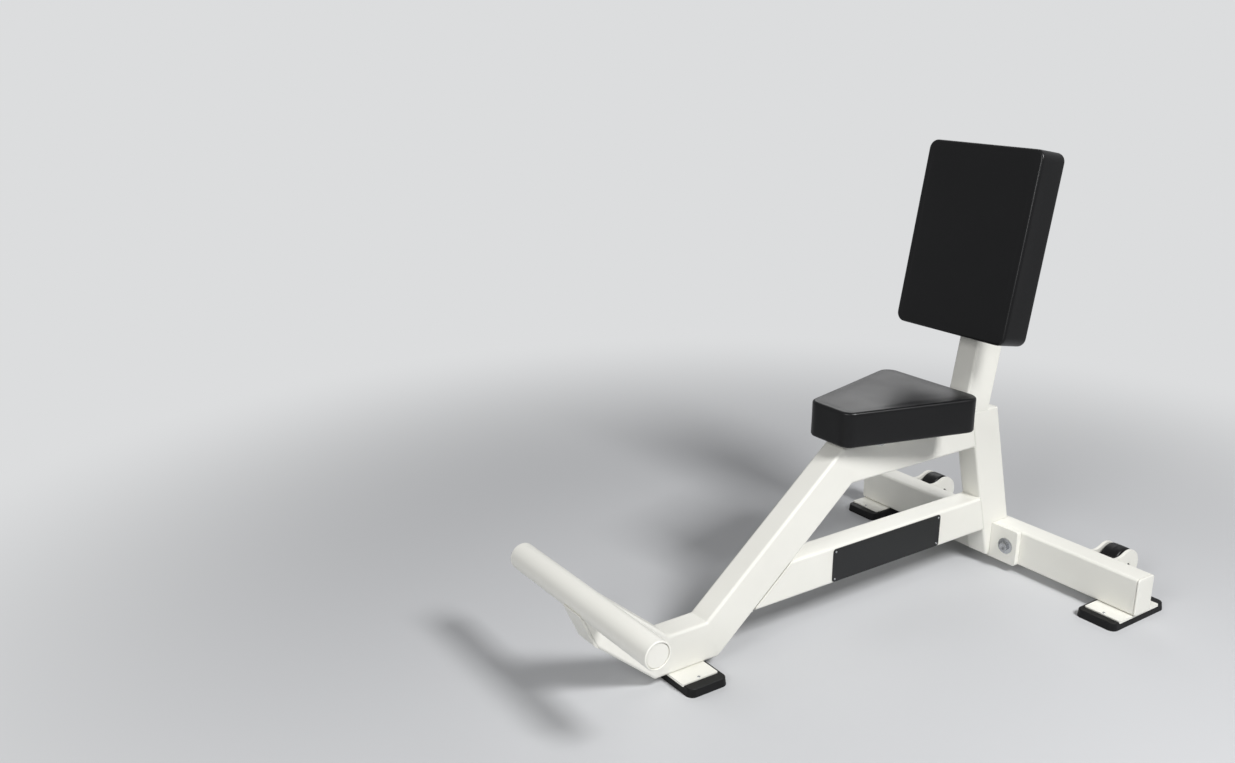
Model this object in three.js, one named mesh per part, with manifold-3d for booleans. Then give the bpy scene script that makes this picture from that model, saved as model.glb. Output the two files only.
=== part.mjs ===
// Upright bench: a welded spine of rectangular tube with a fixed seat and back,
// a foot bar in front, and a bolted cross beam with two transport wheels behind.
// Millimetres, +Z up, -Y towards the foot bar, floor at Z = 0, width along X.

import * as THREE from "three";
import { mergeVertices } from "three/addons/utils/BufferGeometryUtils.js";
import Module from "manifold-3d";

const wasm = await Module();
wasm.setup();

// Driving sizes of the frame
const joint = 0.3; // gap left between pieces that touch
const overrun = 40; // how far a cutting shape reaches past what it cuts
const tubeDepth = 78.2;
const tubeWidth = 50.8;
const tubeWall = 3;
const tubeCorner = 6;
const uprightDepth = 80;
const baseLength = 141.9; // along the underside, between the two bends
const strutAngle = THREE.MathUtils.degToRad(40);
const armAngle = THREE.MathUtils.degToRad(40);
const uprightLean = THREE.MathUtils.degToRad(15);
const backLean = THREE.MathUtils.degToRad(10);
const seatRailHeight = 267.3; // its underside above the underside of the base tube
const seatRailLength = 354.4; // along its underside
const lowerRailHeight = 66.9;
const uprightFootHeight = 5; // the upright ends this far above the cross beam's underside
const postLedge = 30; // upright left showing behind the back post
const postDrop = 54.1; // the post ends this far below the back pad's upper edge
const postCapThickness = 3;
const postPlugLength = 12;

// Foot bar and the arm's closed tip
const barRadius = 25.4;
const barWall = 3.2;
const barLength = 422;
const barReach = 189; // from the arm's upper bend to the bar's axis, along the arm
const barProud = 2; // the bar stands this far above the arm's upper face
const barCapThickness = 4;
const barCapRecess = 1.5;
const barEdge = 1.2;
const tipAngle = THREE.MathUtils.degToRad(65);
const tipPlateThickness = 4.8;
const tipOverlap = 1.8; // the plate's inner face lies this far inside the bar's surface
const tipRise = 3; // the plate reaches this far above where it is nearest the bar's axis
const tipSeat = 8; // the arm's wall stops this far below that place

// Cross beam and the plate that bolts it on
const beamLength = 729;
const beamCapThickness = 4.8;
const flangeThickness = 12.7;
const flangeLength = 184;
const flangeCorner = 6;
const flangeSetback = 9.5; // behind the front edge of the upright's foot
const boltRadius = 6.35;
const boltClearance = 0.4;
const boltSpacing = 130;
const boltHeadFlats = 19;
const boltHeadHeight = 8;
const boltTail = 3;
const nutHeight = 11;
const washerRadius = 17.4;
const washerThickness = 2.5;

// Feet
const footPlateLength = 129;
const footPlateWidth = 78.6;
const footPlateThickness = 4.8;
const footPlateInset = 4.7; // from the cross beam's end
const footPlateCorner = 3;
const frontFootShift = 1.5; // towards the foot bar
const rubberLength = 174;
const rubberWidth = 87;
const rubberThickness = 15.9;
const rubberCorner = 14;
const rubberDraft = 2; // each side leans in by this much on its way up
const rubberEdge = 1;
const rubberShift = 4; // across, from the middle of the plate; inwards on the rear feet
const rearRubberSlide = 3; // rearwards from the middle of the plate
const plateSink = 2.8; // how deep the plate lies in the rubber
const screwInset = 5.5; // from the plate's ends
const screwRadius = 1.6;
const screwHeadRadius = 2.8;
const screwHeadHeight = 1.2;
const screwGrip = 8; // how far a screw reaches into the rubber

// Transport wheels behind the cross beam
const wheelInset = 123.2; // from the cross beam's end to the middle of the tyre
const wheelSetback = 63.9; // axle behind the cross beam's rear face
const tyreRadius = 36;
const tyreWidth = 38;
const tyreShoulder = 5;
const tyreThickness = 11;
const hubBossRadius = 11;
const hubWidth = 34;
const axleRadius = 6.35;
const axleClearance = 0.3;
const axleRecess = 1;
const axleEdge = 0.8;
const earGap = 45; // between the two ears of a wheel
const earThickness = 6.35;
const earRadius = 35.5;
const earFillet = 50;
const earNeck = 27.5; // half the ear's height where it is narrowest

// Upholstery
const padThickness = 69.9; // 2.75 inch
const padCrown = 1.6;
const padEdge = 5;
const padDrawIn = 1.4;
const boardThickness = 15;
const boardInset = 13;
const seatLength = 289.4;
const seatFrontWidth = 103;
const seatRearWidth = 256;
const seatCorner = 25;
const seatSetback = 24; // front edge of the pad in front of the strut's upper bend
const seatPlateThickness = 9.5;
const seatPlateWidth = 102;
const seatPlateSetback = 92; // behind the pad's front edge
const seatPlateEnd = 33.4; // in front of the pad's rear edge
const backHeight = 372.5;
const backWidth = 271;
const backCorner = 19;
const backRise = 165.6; // the pad's lower edge above the foot of the post, along the post
const backPlateThickness = 4.8;
const backPlateWidth = 102;
const backPlateEnd = 59.25; // inside the pad's upper and lower edges
const plateCorner = 10;
const padBoltRadius = 4.8;
const padBoltClearance = 0.3;
const padBoltFlats = 14;
const padBoltHead = 4.5;
const padBoltInset = 13; // from the plate's edges

// Name plate on the lower rail, left bare
const badgeLength = 302;
const badgeHeight = 69.5;
const badgeThickness = 2;
const badgeCorner = 6;
const badgeFront = 197.8; // from the lower rail's lower front corner to the plate's front edge

// Numbers of facets
const cornerSteps = 4;
const roundSteps = 32;
const smallSteps = 12;
const padSideSteps = 4;
const padCornerSteps = 4;
const padRoundSteps = 3;
const padWallSteps = 3;
const padTopRings = 5;

// Finishes
const whiteCoat = { color: 0xf3f2ea, roughness: 0.38, metalness: 0.0 };
const blackVinyl = { color: 0x17181a, roughness: 0.42, metalness: 0.0 };
const blackRubber = { color: 0x1c1c1d, roughness: 0.75, metalness: 0.0 };
const zincSteel = { color: 0x9a9c9e, roughness: 0.35, metalness: 1.0 };
const plywood = { color: 0x2a2622, roughness: 0.8, metalness: 0.0 };
const darkPlate = { color: 0x2d2e30, roughness: 0.4, metalness: 0.3 };
const hubPlastic = { color: 0x2b2b2d, roughness: 0.5, metalness: 0.0 };

// Side view: a point is (y, z) and a line has a point and a direction
const at = (y, z) => new THREE.Vector2(y, z);

class SideLine {
  constructor(point, angle) {
    this.point = point;
    this.direction = at(Math.cos(angle), Math.sin(angle));
    this.angle = angle;
  }

  static through(a, b) {
    return new SideLine(a, Math.atan2(b.y - a.y, b.x - a.x));
  }

  // The same line moved to its left by a distance
  moved(distance) {
    const left = at(-this.direction.y, this.direction.x);
    return new SideLine(this.point.clone().addScaledVector(left, distance), this.angle);
  }

  // The point a distance along the line
  along(distance) {
    return this.point.clone().addScaledVector(this.direction, distance);
  }

  // Where two lines cross
  meet(other) {
    const across = this.direction.cross(other.direction);
    const step = other.point.clone().sub(this.point).cross(other.direction) / across;
    return this.along(step);
  }
}

// Solids
function solid(geometry) {
  const plain = geometry.clone();
  plain.deleteAttribute("normal");
  plain.deleteAttribute("uv");
  const merged = mergeVertices(plain);
  const mesh = new wasm.Mesh({
    numProp: 3,
    vertProperties: new Float32Array(merged.attributes.position.array),
    triVerts: new Uint32Array(merged.index.array),
  });
  mesh.merge();
  return new wasm.Manifold(mesh);
}

function geometryOf(manifold) {
  const mesh = manifold.getMesh();
  const geometry = new THREE.BufferGeometry();
  geometry.setAttribute("position", new THREE.BufferAttribute(new Float32Array(mesh.vertProperties), 3));
  geometry.setIndex(new THREE.BufferAttribute(new Uint32Array(mesh.triVerts), 1));
  return geometry;
}

const carve = (body, ...tools) =>
  geometryOf(tools.reduce((rest, tool) => rest.subtract(solid(tool)), solid(body)));
const keep = (body, region) => geometryOf(solid(body).intersect(solid(region)));
const join = (first, second) => geometryOf(solid(first).add(solid(second)));

// Outlines
function roundedRectangle(width, height, radius, path = new THREE.Shape()) {
  const x = width / 2 - radius;
  const y = height / 2 - radius;
  path.absarc(x, y, radius, 0, Math.PI / 2);
  path.absarc(-x, y, radius, Math.PI / 2, Math.PI);
  path.absarc(-x, -y, radius, Math.PI, Math.PI * 1.5);
  path.absarc(x, -y, radius, Math.PI * 1.5, Math.PI * 2);
  path.closePath();
  return path;
}

function tubeSection(width, depth) {
  const section = roundedRectangle(width, depth, tubeCorner);
  const inner = [width - 2 * tubeWall, depth - 2 * tubeWall, tubeCorner - tubeWall];
  section.holes.push(roundedRectangle(...inner, new THREE.Path()));
  return section;
}

const extrude = (shape, depth, curveSegments = cornerSteps) =>
  new THREE.ExtrudeGeometry(shape, { depth, bevelEnabled: false, curveSegments });

// A flat plate with rounded corners, lying on Z = 0 and centred
const plate = (width, length, thickness, corner) =>
  extrude(roundedRectangle(width, length, corner), thickness);

// A round rod, ring or turned piece about the X axis; the profile is (along, radius)
function turned(profile, steps = roundSteps) {
  const points = profile.map(([along, radius]) => new THREE.Vector2(radius, along));
  return new THREE.LatheGeometry(points, steps).rotateZ(-Math.PI / 2);
}

function rod(length, radius, edge, steps = smallSteps) {
  const end = length / 2;
  return turned(
    [[-end, 0], [-end, radius - edge], [edge - end, radius], [end - edge, radius], [end, radius - edge], [end, 0]],
    steps,
  );
}

// A plain round cutter about the X axis
const drill = (radius, length, steps = smallSteps) =>
  new THREE.CylinderGeometry(radius, radius, length, steps).rotateZ(-Math.PI / 2);

// A hexagon about the Z axis, standing on Z = 0
const hexagon = (flats, height) =>
  new THREE.CylinderGeometry(flats / Math.sqrt(3), flats / Math.sqrt(3), height, 6)
    .rotateX(Math.PI / 2).translate(0, 0, height / 2);

// A prism across the whole width over a side-view polygon
function sidePrism(points, width = tubeWidth + overrun) {
  const shape = new THREE.Shape(points);
  const prism = extrude(shape, width);
  prism.rotateX(Math.PI / 2).rotateZ(Math.PI / 2);
  return prism.translate(-width / 2, 0, 0);
}

// A straight tube whose centre line runs in side view from one point to another
function sideTube(from, to, depth = tubeDepth) {
  const run = SideLine.through(from, to);
  const length = from.distanceTo(to) + 2 * overrun;
  const tube = extrude(tubeSection(tubeWidth, depth), length);
  tube.rotateX(run.angle - Math.PI / 2);
  const start = run.along(-overrun);
  return tube.translate(0, start.x, start.y);
}

// A tube kept between two end lines; lateral lines stand clear of its faces
function cutTube(axis, startLine, endLine, depth = tubeDepth) {
  const clear = depth / 2 + overrun;
  const [low, high] = [axis.moved(-clear), axis.moved(clear)];
  const region = [low.meet(startLine), low.meet(endLine), high.meet(endLine), high.meet(startLine)];
  return keep(sideTube(axis.meet(startLine), axis.meet(endLine), depth), sidePrism(region));
}

const bench = new THREE.Group();

function finished(finish) {
  return new THREE.MeshStandardMaterial(finish);
}

function add(name, geometry, finish, parent = bench) {
  const mesh = new THREE.Mesh(geometry, finished(finish));
  mesh.name = name;
  parent.add(mesh);
  return mesh;
}

// Lines of the spine in side view
const level = (z) => new SideLine(at(0, z), 0);
const frameFoot = rubberThickness - plateSink + footPlateThickness + 2 * joint;
const baseLow = level(frameFoot);
const baseHigh = baseLow.moved(tubeDepth);
const strutLow = new SideLine(at(baseLength / 2, frameFoot), strutAngle);
const strutHigh = strutLow.moved(tubeDepth);
const armLow = new SideLine(at(-baseLength / 2, frameFoot), Math.PI - armAngle);
const armHigh = armLow.moved(-tubeDepth);
const seatLow = level(frameFoot + seatRailHeight);
const seatHigh = seatLow.moved(tubeDepth);
const lowerLow = level(frameFoot + lowerRailHeight);
const strutBend = strutLow.meet(seatLow);
const uprightFront = new SideLine(at(strutBend.x + seatRailLength, strutBend.y), Math.PI / 2 + uprightLean);
const uprightRear = uprightFront.moved(-uprightDepth);
const uprightFoot = level(frameFoot + uprightFootHeight);
const uprightToe = uprightFront.meet(uprightFoot);

// Bends between neighbouring tubes
const rearBend = SideLine.through(strutLow.point, baseHigh.meet(strutHigh));
const frontBend = SideLine.through(armLow.point, baseHigh.meet(armHigh));
const seatBend = SideLine.through(strutBend, strutHigh.meet(seatHigh));

// Stations of the cross beam
const flangeFace = uprightToe.x + flangeSetback;
const beamFace = flangeFace + flangeThickness + joint;
const beamMiddle = beamFace + tubeWidth / 2;
const beamBack = beamFace + tubeWidth;
const beamTop = frameFoot + tubeDepth;
const beamAxisHeight = frameFoot + tubeDepth / 2;

// Welded spine
function buildSpine() {
  add("base_tube", cutTube(baseLow.moved(tubeDepth / 2), frontBend.moved(-joint / 2), rearBend.moved(joint / 2)), whiteCoat);
  add("front_strut", cutTube(strutLow.moved(tubeDepth / 2), rearBend.moved(-joint / 2), seatBend.moved(joint / 2)), whiteCoat);
  add("seat_rail", cutTube(seatLow.moved(tubeDepth / 2), seatBend.moved(-joint / 2), uprightFront.moved(joint)), whiteCoat);
  add("lower_rail", cutTube(lowerLow.moved(tubeDepth / 2), strutLow.moved(-joint), uprightFront.moved(joint)), whiteCoat);

  const step = level(beamTop + joint);
  const heel = new SideLine(at(flangeFace - joint, frameFoot), Math.PI / 2);
  const front = uprightFront.moved(overrun);
  const rear = uprightRear.moved(-overrun);
  const region = [
    front.meet(uprightFoot), heel.meet(uprightFoot), heel.meet(step), rear.meet(step), rear.meet(seatHigh),
    front.meet(seatHigh),
  ];
  const axis = uprightFront.moved(-uprightDepth / 2);
  const upright = sideTube(axis.meet(baseLow), axis.meet(seatHigh), uprightDepth);
  add("rear_upright", keep(upright, sidePrism(region)), whiteCoat);
}

// Arm, foot bar and the plate that closes the arm's tip
function buildFootBar() {
  const bend = baseHigh.meet(armHigh);
  const crest = new SideLine(bend, Math.PI - armAngle);
  const centre = crest.moved(barRadius - barProud).along(barReach);
  const face = new SideLine(centre, Math.PI - tipAngle);
  const seat = barRadius + joint;
  const inner = face.moved(barRadius - tipOverlap);
  const cut = inner.moved(-joint);
  const lowClear = armLow.moved(overrun);
  const region = [
    frontBend.moved(joint / 2).meet(armHigh.moved(-overrun)),
    frontBend.moved(joint / 2).meet(lowClear),
    cut.meet(lowClear),
    cut.along(-tipSeat),
    centre,
    crest.moved(-overrun).along(barReach),
  ];
  const axis = armLow.moved(-tubeDepth / 2);
  const arm = keep(sideTube(axis.meet(frontBend), axis.along(barReach + tubeDepth)), sidePrism(region));
  const notch = drill(seat, tubeWidth + overrun, roundSteps).translate(0, centre.x, centre.y);
  add("foot_arm", carve(arm, notch), whiteCoat);

  const outer = inner.moved(tipPlateThickness);
  const tip = [inner.meet(armLow), inner.along(tipRise), outer.along(tipRise), outer.meet(armLow)];
  add("arm_end_plate", carve(sidePrism(tip, tubeWidth), notch), whiteCoat);

  const end = barLength / 2;
  const bore = barRadius - barWall;
  const bar = turned([
    [-end, bore], [-end, barRadius - barEdge], [barEdge - end, barRadius], [end - barEdge, barRadius],
    [end, barRadius - barEdge], [end, bore], [-end, bore],
  ]);
  add("foot_bar", bar, whiteCoat).position.set(0, centre.x, centre.y);
  const capCentre = end - barCapRecess - barCapThickness / 2;
  for (const [side, sign] of [["left", -1], ["right", 1]]) {
    const cap = rod(barCapThickness, bore - joint, barEdge, roundSteps);
    add(`foot_bar_cap_${side}`, cap, whiteCoat).position.set(sign * capCentre, centre.x, centre.y);
  }
  return { foremost: Math.min(centre.x - barRadius, outer.along(tipRise).x) };
}

// Cross beam, its end plates, the flange plate and the two bolts
function buildCrossBeam() {
  const boltX = boltSpacing / 2;
  const hole = () => drill(boltRadius + boltClearance, tubeWidth + overrun).rotateZ(Math.PI / 2);
  const holes = [-boltX, boltX].map((x) => hole().translate(x, beamMiddle, beamAxisHeight));

  const tubeLength = beamLength - 2 * (beamCapThickness + joint);
  const tube = extrude(tubeSection(tubeWidth, tubeDepth), tubeLength);
  tube.translate(0, 0, -tubeLength / 2).rotateX(Math.PI / 2).rotateZ(Math.PI / 2);
  tube.translate(0, beamMiddle, beamAxisHeight);
  add("cross_beam", carve(tube, ...holes), whiteCoat);

  const flange = plate(flangeLength, tubeDepth, flangeThickness, flangeCorner);
  flange.rotateX(Math.PI / 2).translate(0, flangeFace + flangeThickness, beamAxisHeight);
  add("flange_plate", carve(flange, ...holes), whiteCoat);

  for (const [side, sign] of [["left", -1], ["right", 1]]) {
    const cap = plate(tubeDepth, tubeWidth, beamCapThickness, tubeCorner);
    cap.translate(0, 0, -beamCapThickness / 2).rotateY(Math.PI / 2);
    const capX = sign * (beamLength - beamCapThickness) / 2;
    add(`cross_beam_cap_${side}`, cap, whiteCoat).position.set(capX, beamMiddle, beamAxisHeight);

    // The bolt points along +Y: head and washer in front, nut behind the beam
    const stack = new THREE.Group();
    stack.position.set(sign * boltX, flangeFace, beamAxisHeight);
    bench.add(stack);
    const grip = flangeThickness + joint + tubeWidth;
    const shankEnd = grip + joint + nutHeight + boltTail;
    const shankLength = shankEnd + washerThickness + 2 * joint;
    const shank = rod(shankLength + boltHeadHeight / 2, boltRadius, barEdge).rotateZ(Math.PI / 2);
    shank.translate(0, shankEnd - (shankLength + boltHeadHeight / 2) / 2, 0);
    const head = hexagon(boltHeadFlats, boltHeadHeight).rotateX(Math.PI / 2);
    head.translate(0, -washerThickness - 2 * joint, 0);
    add(`flange_bolt_${side}`, join(shank, head), zincSteel, stack);

    const reach = boltRadius + boltClearance;
    const half = washerThickness / 2;
    const washer = turned([
      [-half, reach], [-half, washerRadius], [half, washerRadius], [half, reach], [-half, reach],
    ]).rotateZ(Math.PI / 2);
    add(`flange_washer_${side}`, washer, zincSteel, stack).position.y = -half - joint;

    const nut = hexagon(boltHeadFlats, nutHeight).rotateX(-Math.PI / 2);
    const bore = drill(reach, nutHeight + overrun).rotateZ(Math.PI / 2);
    add(`flange_nut_${side}`, carve(nut, bore), zincSteel, stack).position.y = grip + joint;
  }
}

// A rubber block with drafted sides, standing on Z = 0
function rubberBlock() {
  const levels = [[0, 0], [rubberThickness - rubberEdge, rubberDraft], [rubberThickness, rubberDraft + rubberEdge]];
  const rings = levels.map(([height, inset]) => {
    const sides = [rubberLength - 2 * inset, rubberWidth - 2 * inset, rubberCorner - inset];
    const ring = roundedRectangle(...sides).getPoints(cornerSteps).slice(0, -1);
    return ring.map((p) => new THREE.Vector3(p.x, p.y, height));
  });
  return loft(rings, 0, rubberThickness);
}

// A foot: steel plate let into a rubber block, and two screws; its long side lies along X before it is turned
function buildFoot({ prefix, suffix = "", ends, position, turn = 0, slide = 0, shift }) {
  const foot = new THREE.Group();
  foot.position.set(...position, 0);
  foot.rotation.z = turn;
  bench.add(foot);
  const screwX = footPlateLength / 2 - screwInset;
  const bed = rubberThickness - plateSink;
  const top = bed + joint + footPlateThickness + joint;
  const reach = 2 * (screwGrip + footPlateThickness + joint);
  const clearances = [-screwX, screwX].map((x) => {
    const radius = screwRadius + joint;
    const shaft = new THREE.CylinderGeometry(radius, radius, reach, smallSteps).rotateX(Math.PI / 2);
    return shaft.translate(x, 0, top);
  });

  const pocketSize = [footPlateLength + 2 * joint, footPlateWidth + 2 * joint, overrun, footPlateCorner + joint];
  const pocket = plate(...pocketSize).translate(0, 0, bed);
  const rubber = rubberBlock().translate(slide, shift, 0);
  add(`${prefix}_rubber_foot${suffix}`, carve(rubber, pocket, ...clearances), blackRubber, foot);
  const steel = plate(footPlateLength, footPlateWidth, footPlateThickness, footPlateCorner);
  steel.translate(0, 0, bed + joint);
  add(`${prefix}_foot_plate${suffix}`, carve(steel, ...clearances), whiteCoat, foot);

  const length = screwGrip + footPlateThickness;
  const profile = [
    [-length, 0], [-length, screwRadius], [0, screwRadius], [0, screwHeadRadius],
    [screwHeadHeight / 2, screwHeadRadius], [screwHeadHeight, screwRadius], [screwHeadHeight, 0],
  ];
  ends.forEach((end, index) => {
    const screw = turned(profile, smallSteps).rotateY(-Math.PI / 2);
    const x = index === 0 ? -screwX : screwX;
    add(`${prefix}_foot_screw${suffix}_${end}`, screw, zincSteel, foot).position.set(x, 0, top);
  });
}

// One wheel with its two ears and axle
function buildWheel(side, sign) {
  const wheel = new THREE.Group();
  wheel.position.set(sign * (beamLength / 2 - wheelInset), beamBack + wheelSetback, beamAxisHeight);
  bench.add(wheel);

  const filletX = Math.sqrt((earRadius + earFillet) ** 2 - (earNeck + earFillet) ** 2);
  const filletZ = earNeck + earFillet;
  const tangent = Math.atan2(filletZ, -filletX);
  const root = wheelSetback - joint;
  const sweep = Math.acos((root - filletX) / earFillet);
  const ear = new THREE.Shape();
  ear.absarc(0, 0, earRadius, -tangent, tangent, false);
  ear.absarc(-filletX, filletZ, earFillet, tangent - Math.PI, sweep - Math.PI, true);
  ear.absarc(-filletX, -filletZ, earFillet, Math.PI - sweep, Math.PI - tangent, true);
  ear.closePath();
  const eye = new THREE.Path();
  eye.absarc(0, 0, axleRadius + axleClearance, 0, Math.PI * 2);
  ear.holes.push(eye);
  for (const [edge, way] of [["inner", -1], ["outer", 1]]) {
    const flap = extrude(ear, earThickness, smallSteps / 2);
    flap.translate(0, 0, -earThickness / 2).rotateX(Math.PI / 2).rotateZ(Math.PI / 2);
    const earX = sign * way * (earGap + earThickness) / 2;
    add(`wheel_ear_${side}_${edge}`, flap, whiteCoat, wheel).position.x = earX;
  }

  const half = tyreWidth / 2;
  const bed = tyreRadius - tyreThickness;
  const shoulder = tyreRadius - tyreShoulder;
  const bevel = tyreShoulder * (1 - Math.SQRT1_2);
  add(`wheel_tyre_${side}`, turned([
    [-half, bed], [-half, shoulder], [bevel - half, tyreRadius - bevel], [tyreShoulder - half, tyreRadius],
    [half - tyreShoulder, tyreRadius], [half - bevel, tyreRadius - bevel], [half, shoulder], [half, bed],
    [-half, bed],
  ]), blackRubber, wheel);

  const rim = bed - joint;
  const bossEnd = earGap / 2 - joint;
  const hubEnd = hubWidth / 2;
  const bore = axleRadius + axleClearance;
  add(`wheel_hub_${side}`, turned([
    [-bossEnd, bore], [-bossEnd, hubBossRadius], [-hubEnd, hubBossRadius], [-hubEnd, rim], [hubEnd, rim],
    [hubEnd, hubBossRadius], [bossEnd, hubBossRadius], [bossEnd, bore], [-bossEnd, bore],
  ]), hubPlastic, wheel);

  const axleLength = earGap + 2 * (earThickness - axleRecess);
  add(`wheel_axle_${side}`, rod(axleLength, axleRadius, axleEdge), zincSteel, wheel);
}

// Plan outline of a pad: corners are arc centres with their directions, and each side draws in
class PadOutline {
  constructor(frontWidth, rearWidth, length, corner) {
    const slope = Math.atan2((rearWidth - frontWidth) / 2, length);
    const rearX = rearWidth / 2 - corner * Math.tan(Math.PI / 4 + slope / 2);
    const frontX = frontWidth / 2 - corner * Math.tan(Math.PI / 4 - slope / 2);
    const y = length / 2 - corner;
    this.corner = corner;
    this.arcs = [
      { x: rearX, y, from: -slope, to: Math.PI / 2 },
      { x: -rearX, y, from: Math.PI / 2, to: Math.PI + slope },
      { x: -frontX, y: -y, from: Math.PI + slope, to: Math.PI * 1.5 },
      { x: frontX, y: -y, from: Math.PI * 1.5, to: Math.PI * 2 - slope },
    ];
  }

  // Points around the outline, inset by a distance, with the sides drawn in at their middles
  points(inset, drawIn = 0) {
    const radius = this.corner - inset;
    const ring = [];
    this.arcs.forEach((arc, index) => {
      for (let i = 0; i <= padCornerSteps; i += 1) {
        const angle = arc.from + (arc.to - arc.from) * (i / padCornerSteps);
        ring.push(at(arc.x + radius * Math.cos(angle), arc.y + radius * Math.sin(angle)));
      }
      const next = this.arcs[(index + 1) % this.arcs.length];
      const start = ring[ring.length - 1];
      const end = at(next.x + radius * Math.cos(next.from), next.y + radius * Math.sin(next.from));
      const inward = at(-Math.cos(arc.to), -Math.sin(arc.to));
      for (let i = 1; i < padSideSteps; i += 1) {
        const share = i / padSideSteps;
        const depth = drawIn * Math.sin(Math.PI * share);
        ring.push(start.clone().lerp(end, share).addScaledVector(inward, depth));
      }
    });
    return ring;
  }
}

// A cushion standing on Z = 0: crowned top, rounded edges, drawn-in sides and a pocket for its board
function cushion(outline) {
  const rings = [];
  const addRing = (points, height) => rings.push(points.map((p) => new THREE.Vector3(p.x, p.y, height)));
  const pocket = outline.points(boardInset);
  addRing(pocket, boardThickness + joint);
  addRing(pocket, 0);
  for (let i = 0; i <= padRoundSteps; i += 1) {
    const angle = (Math.PI / 2) * (i / padRoundSteps);
    addRing(outline.points(padEdge * (1 - Math.sin(angle))), padEdge * (1 - Math.cos(angle)));
  }
  const wall = padThickness - 2 * padEdge;
  for (let i = 1; i < padWallSteps; i += 1) {
    const share = i / padWallSteps;
    addRing(outline.points(0, padDrawIn * Math.sin(Math.PI * share)), padEdge + wall * share);
  }
  for (let i = 0; i <= padRoundSteps; i += 1) {
    const angle = (Math.PI / 2) * (i / padRoundSteps);
    const height = padThickness - padEdge * (1 - Math.sin(angle));
    addRing(outline.points(padEdge * (1 - Math.cos(angle))), height);
  }
  const rim = outline.points(padEdge);
  for (let i = padTopRings - 1; i > 0; i -= 1) {
    const share = i / padTopRings;
    const height = padThickness + padCrown * (1 - share ** 2);
    addRing(rim.map((p) => p.clone().multiplyScalar(share)), height);
  }
  return loft(rings, boardThickness + joint, padThickness + padCrown);
}

// A closed skin over rings of equal count, with a point at the middle of each end
function loft(rings, firstHeight, lastHeight) {
  const count = rings[0].length;
  const vertices = rings.flat();
  const index = [];
  const first = vertices.length;
  const last = first + 1;
  vertices.push(new THREE.Vector3(0, 0, firstHeight), new THREE.Vector3(0, 0, lastHeight));
  for (let i = 0; i < count; i += 1) {
    const next = (i + 1) % count;
    index.push(first, next, i);
    for (let ring = 0; ring < rings.length - 1; ring += 1) {
      const a = ring * count + i;
      const b = ring * count + next;
      index.push(a, b, b + count, a, b + count, a + count);
    }
    const top = (rings.length - 1) * count;
    index.push(top + i, top + next, last);
  }
  const geometry = new THREE.BufferGeometry().setFromPoints(vertices);
  geometry.setIndex(index);
  return geometry;
}

// A pad, its board, the steel plate under it and four bolts, standing on Z = 0 of its group
function buildPad(kind, outline, plateSize, plateY, group) {
  const [plateWidth, plateLength, plateThickness] = plateSize;
  const boltX = plateWidth / 2 - padBoltInset;
  const boltY = plateLength / 2 - padBoltInset;
  const padBase = plateThickness + 2 * joint;
  const shankLength = plateThickness + joint + boardThickness;
  const places = [];
  for (const [row, ySign] of [["front", -1], ["rear", 1]]) {
    for (const [side, xSign] of [["left", -1], ["right", 1]]) {
      places.push({ name: `${kind}_bolt_${row}_${side}`, x: xSign * boltX, y: plateY + ySign * boltY });
    }
  }
  const holes = places.map(({ x, y }) => {
    const radius = padBoltRadius + padBoltClearance;
    const hole = new THREE.CylinderGeometry(radius, radius, 2 * overrun, smallSteps).rotateX(Math.PI / 2);
    return hole.translate(x, y, 0);
  });

  const steel = plate(plateWidth, plateLength, plateThickness, plateCorner).translate(0, plateY, joint);
  add(`${kind}_plate`, carve(steel, ...holes), whiteCoat, group);
  const boardShape = new THREE.Shape(outline.points(boardInset + joint));
  const board = extrude(boardShape, boardThickness).translate(0, 0, padBase);
  add(`${kind}_board`, carve(board, ...holes), plywood, group);
  add(`${kind}_pad`, cushion(outline), blackVinyl, group).position.z = padBase;

  for (const { name, x, y } of places) {
    const shank = rod(shankLength + padBoltHead / 2, padBoltRadius, axleEdge).rotateY(Math.PI / 2);
    shank.translate(0, 0, (shankLength - padBoltHead / 2) / 2);
    const head = hexagon(padBoltFlats, padBoltHead).translate(0, 0, -padBoltHead);
    add(name, join(shank, head), zincSteel, group).position.set(x, y, 0);
  }
}

function buildSeat() {
  const seat = new THREE.Group();
  const front = strutHigh.meet(seatHigh).x - seatSetback;
  seat.position.set(0, front + seatLength / 2, seatHigh.point.y);
  bench.add(seat);
  const outline = new PadOutline(seatFrontWidth, seatRearWidth, seatLength, seatCorner);
  const plateLength = seatLength - seatPlateSetback - seatPlateEnd;
  const plateY = (seatPlateSetback - seatPlateEnd) / 2;
  buildPad("seat", outline, [seatPlateWidth, plateLength, seatPlateThickness], plateY, seat);
}

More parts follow.
